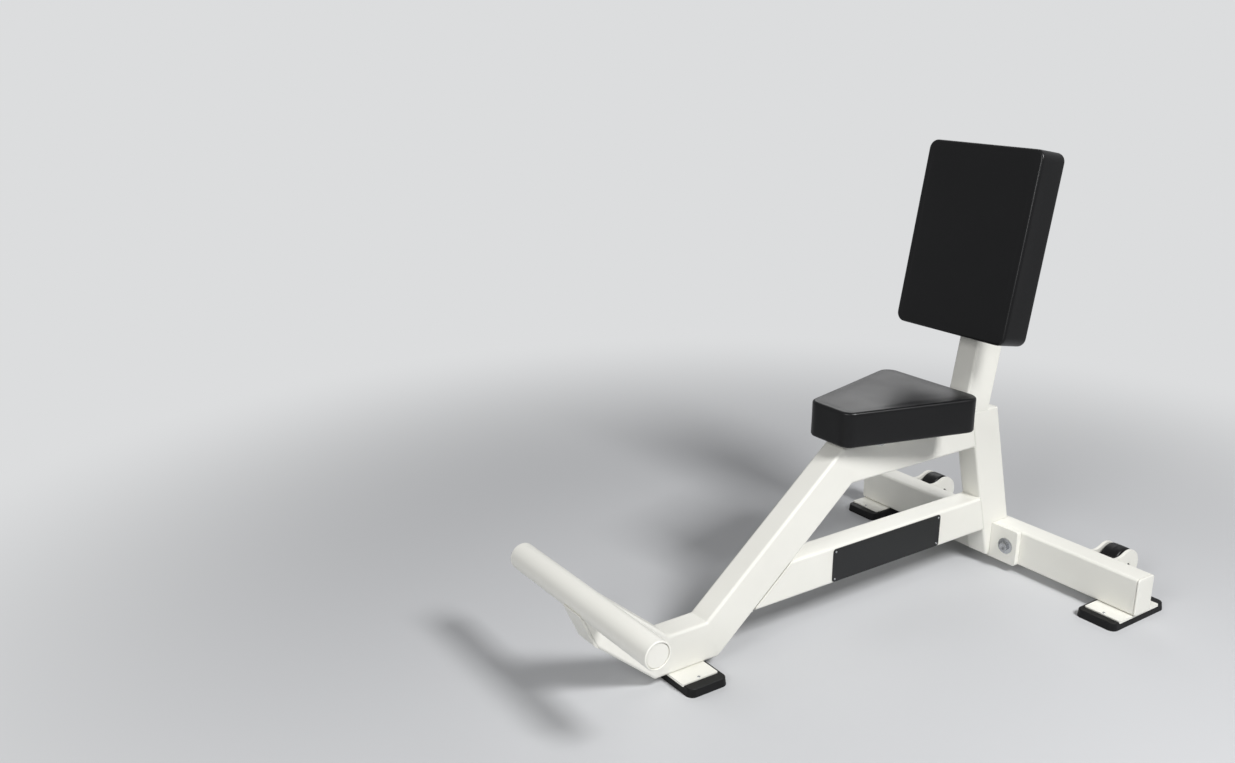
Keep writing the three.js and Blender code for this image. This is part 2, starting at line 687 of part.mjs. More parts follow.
// The back leans with its post: in this group Y runs up the post and Z points forward from its front face
function buildBack() {
  const heel = uprightRear.meet(seatHigh).x - postLedge;
  const span = tubeDepth / Math.cos(backLean);
  const back = new THREE.Group();
  back.position.set(0, heel - span, seatHigh.point.y);
  back.rotation.x = Math.PI / 2 - backLean;
  bench.add(back);

  const postLength = backRise + backHeight - postDrop;
  const drop = tubeDepth * Math.tan(backLean) + overrun;
  const post = extrude(tubeSection(tubeWidth, tubeDepth), postLength + drop);
  post.rotateX(-Math.PI / 2).translate(0, -drop, -tubeDepth / 2);
  const floor = new THREE.BoxGeometry(tubeWidth + overrun, 4 * tubeDepth, 4 * tubeDepth);
  floor.translate(0, 0, joint - 2 * tubeDepth).rotateX(backLean - Math.PI / 2);
  add("back_post", carve(post, floor), whiteCoat, back);

  const lid = plate(tubeWidth, tubeDepth, postCapThickness, tubeCorner);
  const slack = 2 * (tubeWall + joint);
  const plugCorner = tubeCorner - tubeWall;
  const plug = plate(tubeWidth - slack, tubeDepth - slack, postPlugLength + postCapThickness, plugCorner);
  plug.translate(0, 0, -postPlugLength);
  const cap = join(lid, plug).rotateX(-Math.PI / 2).translate(0, postLength + joint, -tubeDepth / 2);
  add("back_post_cap", cap, hubPlastic, back);

  const pads = new THREE.Group();
  pads.position.y = backRise + backHeight / 2;
  back.add(pads);
  const outline = new PadOutline(backWidth, backWidth, backHeight, backCorner);
  const plateLength = backHeight - 2 * backPlateEnd;
  buildPad("back", outline, [backPlateWidth, plateLength, backPlateThickness], 0, pads);
}

function buildBadge() {
  const front = strutLow.meet(lowerLow).x + badgeFront;
  const badge = plate(badgeHeight, badgeLength, badgeThickness, badgeCorner).rotateY(Math.PI / 2);
  const height = lowerLow.point.y + tubeDepth / 2;
  add("badge_plate", badge, darkPlate).position.set(tubeWidth / 2 + joint, front + badgeLength / 2, height);
}

buildSpine();
const { foremost } = buildFootBar();
buildCrossBeam();
buildFoot({ prefix: "front", ends: ["left", "right"], position: [0, -frontFootShift], shift: rubberShift });
const rearFootX = beamLength / 2 - footPlateInset - footPlateWidth / 2;
for (const [side, sign] of [["left", -1], ["right", 1]]) {
  buildFoot({
    prefix: "rear", suffix: `_${side}`, ends: ["front", "rear"], position: [sign * rearFootX, beamMiddle],
    turn: Math.PI / 2, slide: rearRubberSlide, shift: sign * rubberShift,
  });
  buildWheel(side, sign);
}
buildSeat();
buildBack();
buildBadge();

// The origin is on the floor under the middle of the whole bench
const rearmost = beamBack + wheelSetback + Math.max(tyreRadius, earRadius);
bench.position.y = -(foremost + rearmost) / 2;

export default bench;
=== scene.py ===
"""Looks of the upright bench: powder-coated tube, vinyl pads, rubber feet and plated fasteners."""

import logging
import math
from collections.abc import Iterable, Sequence
from dataclasses import dataclass, replace
from enum import Enum
from functools import partial
from typing import Any

import bmesh
import bpy
import numpy as np
from bmesh.types import BMesh, BMVert
from bpy.types import Material, NodeSocket, NodeTree, Object
from mathutils import Matrix, Vector


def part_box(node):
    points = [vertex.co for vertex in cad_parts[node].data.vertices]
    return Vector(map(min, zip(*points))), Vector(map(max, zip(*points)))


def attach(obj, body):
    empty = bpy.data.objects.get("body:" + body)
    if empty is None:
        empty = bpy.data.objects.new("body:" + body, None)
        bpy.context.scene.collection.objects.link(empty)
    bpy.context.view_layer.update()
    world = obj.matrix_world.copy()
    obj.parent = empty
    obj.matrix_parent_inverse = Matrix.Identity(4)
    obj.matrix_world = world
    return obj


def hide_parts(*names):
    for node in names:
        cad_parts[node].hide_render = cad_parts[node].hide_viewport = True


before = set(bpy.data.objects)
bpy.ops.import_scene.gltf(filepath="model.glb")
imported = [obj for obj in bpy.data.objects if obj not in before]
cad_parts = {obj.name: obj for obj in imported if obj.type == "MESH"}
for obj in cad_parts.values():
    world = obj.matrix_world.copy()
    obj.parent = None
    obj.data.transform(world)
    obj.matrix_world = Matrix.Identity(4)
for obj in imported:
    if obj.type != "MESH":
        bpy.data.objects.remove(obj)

LOG = logging.getLogger("upright_bench")
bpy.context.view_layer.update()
MM = 0.001
SHARP_DEGREES = 35.0  # a steeper edge than this shades as an edge
FLAT_DEGREES = 0.3  # faces that differ by less lie in one plane
MERGE_MM = 0.002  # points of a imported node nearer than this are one
RIM_SHARE = 0.475  # radius where a hexagon's chamfer starts, as a share of its width across flats
CHAMFER = 0.5  # slope of that chamfer, as height per radius

Colour = tuple[float, float, float, float]
Inputs = dict[str | int, Any]
Links = dict[str | int, NodeSocket]
Ring = Sequence[Vector]
Span = tuple[float, float]
Triple = tuple[float, float, float]
USUAL: Span = (0.3, 0.7)  # where most of a noise's values lie
WHOLE: Span = (0.0, 1.0)


class Slot(Enum):
    """The record's material slots."""

    FRAME_COAT = "frame_coat"
    UPHOLSTERY = "upholstery"
    BOARD = "board"
    FOOT_RUBBER = "foot_rubber"
    TYRE = "tyre"
    BLACK_PLASTIC = "black_plastic"
    HARDWARE = "hardware"
    BADGE = "badge"


class Side(Enum):
    """The two sides of the bench, as the sign of X."""

    LEFT = -1
    RIGHT = 1

    @property
    def word(self) -> str:
        """The side's word in node names."""
        return self.name.lower()

    @property
    def wheel_body(self) -> str:
        """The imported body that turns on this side."""
        return f"{self.word}_wheel"


class Pivot(Enum):
    """How a copy turns to lie along its path."""

    FREE = "AUTO"
    UPRIGHT = "Z"


class Pattern(Enum):
    """The textures that finishes are drawn with."""

    NOISE = "ShaderNodeTexNoise"
    CELLS = "ShaderNodeTexVoronoi"


# Small tools


def linear(code: str) -> Colour:
    """Turn an sRGB hex colour into the linear values that shaders take.

    Args:
        code: Six hex digits, without a hash.

    Returns:
        Red, green, blue and an alpha of one.
    """
    channels = (int(code[i : i + 2], 16) / 255 for i in (0, 2, 4))
    red, green, blue = (
        c / 12.92 if c <= 0.04045 else ((c + 0.055) / 1.055) ** 2.4 for c in channels
    )
    return red, green, blue, 1.0


def per_metre(period_mm: float) -> float:
    """The texture scale at which a pattern repeats about once in this many millimetres."""
    return 1 / (period_mm * MM)


def add_node(
    tree: NodeTree, kind: str, settings: Inputs | None = None, links: Links | None = None
) -> bpy.types.Node:
    """Add a node with its settings and links.

    Args:
        tree: The tree that gets the node.
        kind: Blender's name of the node's class.
        settings: Properties by name, and input values by socket name or number.
        links: Output sockets by the name or number of the input that they feed.

    Returns:
        The new node.
    """
    made = tree.nodes.new(kind)
    for key, value in (settings or {}).items():
        if isinstance(key, int) or key in made.inputs:
            made.inputs[key].default_value = value
        else:
            setattr(made, key, value)
    for key, output in (links or {}).items():
        tree.links.new(output, made.inputs[key])
    return made


def linked(name: str, data: bpy.types.ID) -> Object:
    """Make an object of its data, and link it.

    Args:
        name: The object's name.
        data: Its mesh, lamp or camera.

    Returns:
        The object.
    """
    made = bpy.data.objects.new(name, data)
    bpy.context.scene.collection.objects.link(made)
    return made


def mesh_object(name: str, bm: BMesh) -> Object:
    """Make an object at the origin, facing outwards and smooth up to its sharp edges.

    Args:
        name: The object's and the mesh's name.
        bm: The geometry, in metres in the part's frame; it is used up.

    Returns:
        The object.
    """
    bmesh.ops.recalc_face_normals(bm, faces=bm.faces)
    for face in bm.faces:
        face.smooth = True
    mesh = bpy.data.meshes.new(name)
    bm.to_mesh(mesh)
    bm.free()
    mesh.set_sharp_from_angle(angle=math.radians(SHARP_DEGREES))
    return linked(name, mesh)


def join_rings(bm: BMesh, low: Sequence[BMVert], high: Sequence[BMVert]) -> None:
    """Join two rings of equal count with a band of faces.

    Args:
        bm: The mesh that gets the faces.
        low: The first ring's points.
        high: The next ring's points.
    """
    for i in range(len(low)):
        j = (i + 1) % len(low)
        bm.faces.new((low[i], low[j], high[j], high[i]))


def shell_object(name: str, *stacks: Sequence[Ring], closed: bool = False) -> Object:
    """Make an object of shells, each a skin over a stack of rings of equal count.

    Args:
        name: The object's name.
        stacks: The rings of each shell, in order.
        closed: Whether a last ring joins its first; else both ends get a flat face.

    Returns:
        The object.
    """
    bm = bmesh.new()
    for rings in stacks:
        rows = [[bm.verts.new(point) for point in ring] for ring in rings]
        for low, high in zip(rows, rows[1:]):
            join_rings(bm, low, high)
        if closed:
            join_rings(bm, rows[-1], rows[0])
        else:
            bm.faces.new(list(reversed(rows[0])))
            bm.faces.new(rows[-1])
    return mesh_object(name, bm)


def join_flats(bm: BMesh) -> None:
    """Join the faces that lie in one plane."""
    flat = math.radians(FLAT_DEGREES)
    bmesh.ops.dissolve_limit(bm, angle_limit=flat, verts=bm.verts, edges=bm.edges)


def packed_copy(node: str) -> Object:
    """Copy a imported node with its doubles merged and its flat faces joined.

    Args:
        node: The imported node.

    Returns:
        The copy, whose place is in its mesh as the node's is.
    """
    bm = bmesh.new()
    bm.from_mesh(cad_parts[node].data)
    bmesh.ops.remove_doubles(bm, verts=bm.verts, dist=MERGE_MM * MM)
    join_flats(bm)
    made = mesh_object(f"{node}_finished", bm)
    for layer in ("custom_normal", "sharp_edge"):
        if layer in made.data.attributes:
            made.data.attributes.remove(made.data.attributes[layer])
    made.data.materials.clear()
    return made


def circle(radius_mm: float, level_mm: float, steps: int = 36) -> list[Vector]:
    """Points round the Z axis, at one level."""
    arc = (math.tau * i / steps for i in range(steps))
    return [Vector((radius_mm * math.cos(a), radius_mm * math.sin(a), level_mm)) * MM for a in arc]


def hexagon(
    flats_mm: float, level_mm: float, chamfer: float = 0.0, steps: int = 36
) -> list[Vector]:
    """Points round a hexagon whose corners drop away as a turned chamfer leaves them.

    Args:
        flats_mm: Width across flats.
        level_mm: Height of the chamfer's circle.
        chamfer: Slope of the chamfer, as height per radius; negative to rise.
        steps: Points, a multiple of twelve.

    Returns:
        The ring of points.
    """
    points = []
    for i in range(steps):
        angle = math.tau * i / steps
        radius = flats_mm / 2 / math.cos((angle % (math.pi / 3)) - math.pi / 6)
        level = level_mm - (radius - RIM_SHARE * flats_mm) * chamfer
        points.append(Vector((radius * math.cos(angle), radius * math.sin(angle), level)) * MM)
    return points


def rounded(half_mm: Span, corner_mm: float, rise_mm: float, steps: int) -> list[Span]:
    """Points round a rectangle with rounded corners.

    Args:
        half_mm: Half its width and half its height.
        corner_mm: Its corners' radius.
        rise_mm: How far outside that outline the points lie.
        steps: Steps round each corner.

    Returns:
        The points, in millimetres from its middle.
    """
    points = []
    reach = corner_mm + rise_mm
    for quarter, (x, y) in enumerate(((1, 1), (-1, 1), (-1, -1), (1, -1))):
        for step in range(steps + 1):
            angle = math.pi / 2 * (quarter + step / steps)
            across = x * (half_mm[0] - corner_mm) + reach * math.cos(angle)
            points.append((across, y * (half_mm[1] - corner_mm) + reach * math.sin(angle)))
    return points


def baked(source: Object, name: str) -> Object:
    """Turn an object with its modifiers into a plain mesh object.

    Args:
        source: The object, which is removed.
        name: The name of the plain one.

    Returns:
        The plain object, smooth all over.
    """
    dg = bpy.context.evaluated_depsgraph_get()
    mesh = bpy.data.meshes.new_from_object(source.evaluated_get(dg), depsgraph=dg)
    bpy.data.objects.remove(source)
    mesh.name = name
    for face in mesh.polygons:
        face.use_smooth = True
    return linked(name, mesh)


@dataclass(frozen=True)
class Bolt:
    """A hexagon bolt along Z: head below zero, shank above."""

    flats_mm: float
    head_mm: float
    radius_mm: float
    length_mm: float  # of the shank, from the head's underside
    thread_mm: float  # length of the part of the thread that is cut in
    pitch_mm: float = 1.5
    cut_mm: float = 0.6  # depth of the thread, and the plain land at its tip
    tip_mm: float = 0.8  # the tip's chamfer
    dish_shares: Span = (0.72, 0.68)  # of the rim's radius
    dish_mm: float = 0.25
    root_share: float = 0.4  # the shank starts this far up inside the head
    steps: int = 24

    def stacks(self) -> tuple[list[Ring], list[Ring]]:
        """Lay out the bolt's rings.

        Returns:
            The head's and the shank's.
        """
        rim, end = RIM_SHARE * self.flats_mm, -self.head_mm
        outer, inner = (rim * share for share in self.dish_shares)
        head = [hexagon(self.flats_mm, 0.0), hexagon(self.flats_mm, end, -CHAMFER)]
        head += [circle(rim, end), circle(outer, end), circle(inner, end + self.dish_mm)]
        turns = max(1, round(self.thread_mm / self.pitch_mm))
        profile = [(self.radius_mm, -self.root_share * self.head_mm)]
        for turn in range(turns):
            level = self.length_mm - self.cut_mm - (turns - turn) * self.pitch_mm
            profile.append((self.radius_mm, level))
            profile.append((self.radius_mm - self.cut_mm, level + self.pitch_mm / 2))
        profile.append((self.radius_mm, self.length_mm - self.tip_mm))
        profile.append((self.radius_mm - self.tip_mm, self.length_mm))
        return head, [circle(radius, level, self.steps) for radius, level in profile]


# Finishes


class Draft:
    """A node material in the making: a principled shader, and patterns in Object coordinates."""

    def __init__(self, name: str, settings: Inputs) -> None:
        """Begin the material.

        Args:
            name: The material's name.
            settings: The shader's own constants.
        """
        self.material = bpy.data.materials.new(name)
        self.material.use_nodes = True
        self.tree = self.material.node_tree
        self.tree.nodes.clear()
        self.shader = add_node(self.tree, "ShaderNodeBsdfPrincipled", settings)
        links = {"Surface": self.shader.outputs["BSDF"]}
        self.end = add_node(self.tree, "ShaderNodeOutputMaterial", links=links)
        self.place = add_node(self.tree, "ShaderNodeTexCoord").outputs["Object"]

    def draw(
        self,
        pattern: Pattern,
        period_mm: float | Triple,
        settings: Inputs,
        place: NodeSocket | None = None,
    ) -> bpy.types.Node:
        """Draw a pattern at its real size.

        Args:
            pattern: The texture.
            period_mm: How often it repeats, or how often along each axis.
            settings: The texture's other values.
            place: Coordinates, if they aren't the piece's own.

        Returns:
            The texture's node.
        """
        place, scale = place or self.place, 1.0
        if isinstance(period_mm, tuple):
            each = {"operation": "MULTIPLY", 1: tuple(map(per_metre, period_mm))}
            place = add_node(self.tree, "ShaderNodeVectorMath", each, {0: place}).outputs[0]
        else:
            scale = per_metre(period_mm)
        return add_node(self.tree, pattern.value, settings | {"Scale": scale}, {"Vector": place})

    def finished(
        self,
        tint: tuple[NodeSocket, str, str],
        gloss: tuple[NodeSocket, Span, Span],
        relief: tuple[NodeSocket, float, float],
    ) -> Material:
        """Let patterns set the colour, the roughness and the relief.

        Args:
            tint: A share, and the two colours that it mixes.
            gloss: A value, the span of it that is used, and the roughness at that span's ends.
            relief: A height, its strength and its depth in millimetres.

        Returns:
            The finished material.
        """
        share, first, second = tint
        value, taken, given = gloss
        height, strength, depth_mm = relief
        colours = {"data_type": "RGBA", 6: linear(first), 7: linear(second)}
        ends = {"From Min": taken[0], "From Max": taken[1], "To Min": given[0], "To Max": given[1]}
        depth = {"Strength": strength, "Distance": depth_mm * MM}
        for goal, kind, settings, links, output in (
            ("Base Color", "ShaderNodeMix", colours, {0: share}, 2),
            ("Roughness", "ShaderNodeMapRange", ends, {"Value": value}, 0),
            ("Normal", "ShaderNodeBump", depth, {"Height": height}, 0),
        ):
            made = add_node(self.tree, kind, settings, links)
            self.tree.links.new(made.outputs[output], self.shader.inputs[goal])
        return self.material


@dataclass(frozen=True)
class PowderCoat:
    """Polyester powder coat baked on steel: a closed semi-gloss skin, slightly warm white, that
    keeps a faint orange peel, so that broad highlights stay soft and a little uneven."""

    name: str = "white_powder_coat"
    colour: str = "F3F2EB"
    thin_colour: str = "EAE9E1"  # where the film is thinner over the steel
    sheen: float = 0.5
    roughness: Span = (0.32, 0.42)
    cloud_mm: float = 180.0  # film thickness drifts over a hand's width, as the gun passes
    dust_mm: float = 7.0
    peel_mm: float = 2.4  # peel is 1 to 3 mm across
    peel_depth_mm: float = 0.012
    peel_strength: float = 0.8

    def build(self) -> Material:
        """Build the material.

        Returns:
            The material.
        """
        draft = Draft(self.name, {"IOR": 1.5, "Specular IOR Level": self.sheen})
        cloud, dust, peel = (
            draft.draw(Pattern.NOISE, period, {"Detail": detail}).outputs["Fac"]
            for period, detail in ((self.cloud_mm, 3.0), (self.dust_mm, 4.0), (self.peel_mm, 1.0))
        )
        return draft.finished(
            (cloud, self.colour, self.thin_colour),
            (dust, USUAL, self.roughness),
            (peel, self.peel_strength, self.peel_depth_mm),
        )


@dataclass(frozen=True)
class Vinyl:
    """Expanded PVC on knit, the usual gym upholstery: near black, with a shallow pressed grain that
    spreads its semi-gloss highlight into a broad sheen."""

    name: str = "black_grained_vinyl"
    colour: str = "0F0F11"
    # painted shade: the grain's creases are coloured darker than the rest of the vinyl
    crease_colour: str = "0A0A0B"
    sheen: float = 0.32
    roughness: Span = (0.28, 0.35)
    grain_mm: float = 2.0  # the real grain is about 0.8 mm, drawn coarser so that it shows at all
    grain_depth_mm: float = 0.02
    grain_strength: float = 0.7
    crease: Span = (0.0, 0.22)  # how near a cell's edge its crease lies, as a share of the cell
    warp_mm: float = 0.9  # how far the cells' edges wander
    warp_period_mm: float = 3.1
    drift_mm: float = 90.0

    def build(self) -> Material:
        """Build the material.

        Returns:
            The material.
        """
        draft = Draft(self.name, {"IOR": 1.5, "Specular IOR Level": self.sheen})
        wander = draft.draw(Pattern.NOISE, self.warp_period_mm, {"Detail": 1.0})
        shift = {"operation": "MULTIPLY_ADD", 1: (self.warp_mm * MM,) * 3}
        links = {0: wander.outputs["Color"], 2: draft.place}
        bent = add_node(draft.tree, "ShaderNodeVectorMath", shift, links).outputs[0]
        edges = {"feature": "DISTANCE_TO_EDGE"}
        cells = draft.draw(Pattern.CELLS, self.grain_mm, edges, bent)
        low, high = self.crease
        ease = {"interpolation_type": "SMOOTHSTEP", "From Min": low, "From Max": high}
        links = {"Value": cells.outputs["Distance"]}
        pebble = add_node(draft.tree, "ShaderNodeMapRange", ease, links).outputs[0]
        drift = draft.draw(Pattern.NOISE, self.drift_mm, {"Detail": 2.0})
        return draft.finished(
            (pebble, self.crease_colour, self.colour),
            (drift.outputs["Fac"], USUAL, self.roughness),
            (pebble, self.grain_strength, self.grain_depth_mm),
        )


@dataclass(frozen=True)
class Moulded:
    """A moulded black part, rubber or plastic: one dark colour, and its mould's fine texture."""

    name: str
    colour: str
    bloom_colour: str  # the paler film that rubber gets, and handling leaves on plastic
    roughness: Span
    texture_mm: float
    texture_depth_mm: float
    sheen: float = 0.35
    texture_strength: float = 0.8
    bloom: Span = (0.45, 0.75)
    bloom_mm: float = 38.0

    def build(self) -> Material:
        """Build the material.

        Returns:
            The material.
        """
        draft = Draft(self.name, {"IOR": 1.52, "Specular IOR Level": self.sheen})
        patches = draft.draw(Pattern.NOISE, self.bloom_mm, {"Detail": 5.0})
        low, high = self.bloom
        ease = {"interpolation_type": "SMOOTHSTEP", "From Min": low, "From Max": high}
        links = {"Value": patches.outputs["Fac"]}
        bloom = add_node(draft.tree, "ShaderNodeMapRange", ease, links).outputs[0]
        grit = draft.draw(Pattern.NOISE, self.texture_mm, {"Detail": 2.0})
        return draft.finished(
            (bloom, self.colour, self.bloom_colour),
            (bloom, WHOLE, self.roughness),
            (grit.outputs["Fac"], self.texture_strength, self.texture_depth_mm),
        )


@dataclass(frozen=True)
class Plating:
    """Plated steel fasteners: bare metal with a faintly crystalline film, duller in patches where
    it was handled."""

    name: str
    colour: str
    dull_colour: str
    roughness: Span
    patch_mm: float = 30.0
    crystal_mm: float = 1.4  # crystals are far finer, drawn coarser so that the film shows
    crystal_depth_mm: float = 0.01
    crystal_strength: float = 0.04

    def build(self) -> Material:
        """Build the material.

        Returns:
            The material.
        """
        draft = Draft(self.name, {"Metallic": 1.0})
        patches = draft.draw(Pattern.NOISE, self.patch_mm, {"Detail": 4.0}).outputs["Fac"]
        crystals = draft.draw(Pattern.CELLS, self.crystal_mm, {}).outputs["Distance"]
        return draft.finished(
            (patches, self.colour, self.dull_colour),
            (patches, USUAL, self.roughness),
            (crystals, self.crystal_strength, self.crystal_depth_mm),
        )


@dataclass(frozen=True)
class StainedPly:
    """Birch plywood stained near black: matt, with the grain still showing as lighter and darker
    streaks."""

    name: str
    lean_degrees: float  # the board's own lean, so that the grain runs along it
    early_colour: str = "2E2721"
    late_colour: str = "1B1714"
    roughness: Span = (0.62, 0.8)
    periods_mm: Triple = (2.6, 130.0, 8.0)  # across, along and through a ply
    streak: Span = (0.35, 0.65)
    streak_depth_mm: float = 0.08
    streak_strength: float = 0.6

    def build(self) -> Material:
        """Build the material.

        Returns:
            The material.
        """
        draft = Draft(self.name, {"IOR": 1.45})
        turn = {"vector_type": "POINT", "Rotation": (-math.radians(self.lean_degrees), 0, 0)}
        turned = add_node(draft.tree, "ShaderNodeMapping", turn, {"Vector": draft.place})
        wander = {"Detail": 5.0, "Roughness": 0.6, "Distortion": 0.4}
        grain = draft.draw(Pattern.NOISE, self.periods_mm, wander, turned.outputs[0])
        low, high = self.streak
        links = {"Value": grain.outputs["Fac"]}
        ends = {"From Min": low, "From Max": high}
        streak = add_node(draft.tree, "ShaderNodeMapRange", ends, links).outputs[0]
        return draft.finished(
            (streak, self.late_colour, self.early_colour),
            (streak, WHOLE, self.roughness),
            (streak, self.streak_strength, self.streak_depth_mm),
        )


@dataclass(frozen=True)
class AnodisedPlate:
    """Charcoal anodised aluminium sheet: satin, with the fine lengthwise lines of the brushing
    under the dye."""

    name: str = "charcoal_anodised_aluminium"
    colour: str = "1C1D1E"
    line_colour: str = "262728"
    metal: float = 0.35  # the dyed oxide hides most of the metal
    roughness: Span = (0.34, 0.5)
    # Through, along and across the lines; brushing is nearer 0.1 mm, drawn coarser so that it shows
    periods_mm: Triple = (5.0, 70.0, 1.1)
    line_depth_mm: float = 0.02
    line_strength: float = 0.3

    def build(self) -> Material:
        """Build the material.

        Returns:
            The material.
        """
        draft = Draft(self.name, {"Metallic": self.metal})
        lines = draft.draw(Pattern.NOISE, self.periods_mm, {"Detail": 4.0}).outputs["Fac"]
        return draft.finished(
            (lines, self.colour, self.line_colour),
            (lines, WHOLE, self.roughness),
            (lines, self.line_strength, self.line_depth_mm),
        )


def mix_finishes() -> dict[Slot, Material]:
    """Build the finish that each slot's pieces usually wear.

    Returns:
        The finishes by slot, without the boards', whose grain follows each board.
    """
    rubber = partial(Moulded, colour="0B0B0C", bloom_colour="141415")
    kinds = {
        Slot.FRAME_COAT: PowderCoat(),
        Slot.UPHOLSTERY: Vinyl(),
        # Compression-moulded SBR: matt, a little grey with bloom
        Slot.FOOT_RUBBER: rubber(
            "black_moulded_rubber",
            roughness=(0.5, 0.62),
            texture_mm=1.8,
            texture_depth_mm=0.03,
            sheen=0.25,
        ),
        # Polyurethane: closer and smoother than rubber, so it keeps a soft highlight
        Slot.TYRE: rubber(
            "black_polyurethane_tyre",
            roughness=(0.38, 0.5),
            texture_mm=2.2,
            texture_depth_mm=0.015,
            sheen=0.28,
        ),
        # Spark-eroded nylon
        Slot.BLACK_PLASTIC: Moulded(
            "black_nylon",
            "1D1D1F",
            "28282A",
            roughness=(0.42, 0.52),
            texture_mm=1.4,
            texture_depth_mm=0.02,
        ),
        Slot.HARDWARE: Plating("zinc_plated_steel", "CFD1D3", "A9ABAE", (0.2, 0.34)),
        Slot.BADGE: AnodisedPlate(),
    }
    return {slot: kind.build() for slot, kind in kinds.items()}


# Repeated pieces


def copies_tree(name: str, pivot: Pivot | None) -> bpy.types.GeometryNodeTree:
    """Build the nodes that set copies of one object on points, or along a path.

    Args:
        name: The tree's name.
        pivot: How copies turn along the path, or None to use the host's own points, unturned.

    Returns:
        A tree with the inputs Copy, Spacing, Unevenness, Seed and Finish.
    """
    tree = bpy.data.node_groups.new(name, "GeometryNodeTree")
    for label, way, kind in (
        ("Geometry", "INPUT", "NodeSocketGeometry"),
        ("Copy", "INPUT", "NodeSocketObject"),
        ("Spacing", "INPUT", "NodeSocketFloat"),
        ("Unevenness", "INPUT", "NodeSocketFloat"),
        ("Seed", "INPUT", "NodeSocketInt"),
        ("Finish", "INPUT", "NodeSocketMaterial"),
        ("Geometry", "OUTPUT", "NodeSocketGeometry"),
    ):
        tree.interface.new_socket(label, in_out=way, socket_type=kind)
    given = add_node(tree, "NodeGroupInput").outputs
    item = add_node(tree, "GeometryNodeObjectInfo", links={"Object": given["Copy"]})
    feed = {"Instance": item.outputs["Geometry"], "Points": given["Geometry"]}
    if pivot is not None:
        path = add_node(tree, "GeometryNodeMeshToCurve", links={"Mesh": given["Geometry"]})
        links = {"Curve": path.outputs["Curve"], "Length": given["Spacing"]}
        steps = add_node(tree, "GeometryNodeResampleCurve", {"mode": "LENGTH"}, links)
        along = add_node(tree, "GeometryNodeInputTangent").outputs["Tangent"]
        settings = {"axis": "X", "pivot_axis": pivot.value}
        turn = add_node(tree, "FunctionNodeAlignRotationToVector", settings, {"Vector": along})
        feed |= {"Points": steps.outputs["Curve"], "Rotation": turn.outputs["Rotation"]}
    least, most = (
        add_node(tree, "ShaderNodeMath", {"operation": sign, 0: 1.0}, {1: given["Unevenness"]})
        for sign in ("SUBTRACT", "ADD")
    )
    # A random value has sockets of one name for every type of data, so its numbers go by place
    links = {2: least.outputs[0], 3: most.outputs[0], "Seed": given["Seed"]}
    size = add_node(tree, "FunctionNodeRandomValue", {"data_type": "FLOAT"}, links)
    feed["Scale"] = size.outputs[1]
    copies = add_node(tree, "GeometryNodeInstanceOnPoints", links=feed).outputs["Instances"]
    real = add_node(tree, "GeometryNodeRealizeInstances", links={"Geometry": copies})
    links = {"Geometry": real.outputs["Geometry"], "Material": given["Finish"]}
    worn = add_node(tree, "GeometryNodeSetMaterial", links=links)
    add_node(tree, "NodeGroupOutput", links={"Geometry": worn.outputs["Geometry"]})
    return tree


@dataclass
class Repeat:
    """Copies of one small shape along paths or on points."""

    name: str
    shape: Object  # it is used up
    finish: Material
    pivot: Pivot | None = None
    spacing_mm: float = 10.0
    unevenness: float = 0.0
    seed: int = 7

    def along(self, paths: Sequence[Ring], closed: bool = False) -> Object:
        """Set the copies out and make them one plain mesh.

        Args:
            paths: The points of each path.
            closed: Whether each path's end joins its start.

        Returns:
            The copies as one object.
        """
        bm = bmesh.new()
        for path in paths:
            points = [bm.verts.new(point) for point in path]
            for pair in zip(points, points[1:] + points[:1] if closed else points[1:]):
                bm.edges.new(pair)
        host = mesh_object("host", bm)
        tree = copies_tree(f"{self.name}_tree", self.pivot)
        modifier = host.modifiers.new("copies", "NODES")
        modifier.node_group = tree
        values = {
            "Copy": self.shape,
            "Spacing": self.spacing_mm * MM,
            "Unevenness": self.unevenness,
            "Seed": self.seed,
            "Finish": self.finish,
        }
        for item in tree.interface.items_tree:
            if item.in_out == "INPUT" and item.name in values:
                modifier[item.identifier] = values[item.name]
        made = baked(host, self.name)
        bpy.data.objects.remove(self.shape)
        return made


@dataclass(frozen=True)
class WeldBead:
    """A weld bead of overlapping puddles."""

    name: str
    radius_mm: float
    ripple_mm: float
    unevenness: float
    seed: int
    squash: float = 0.75  # a puddle's length along the bead, against its width
    segments: tuple[int, int] = (8, 6)


# Sub-assemblies


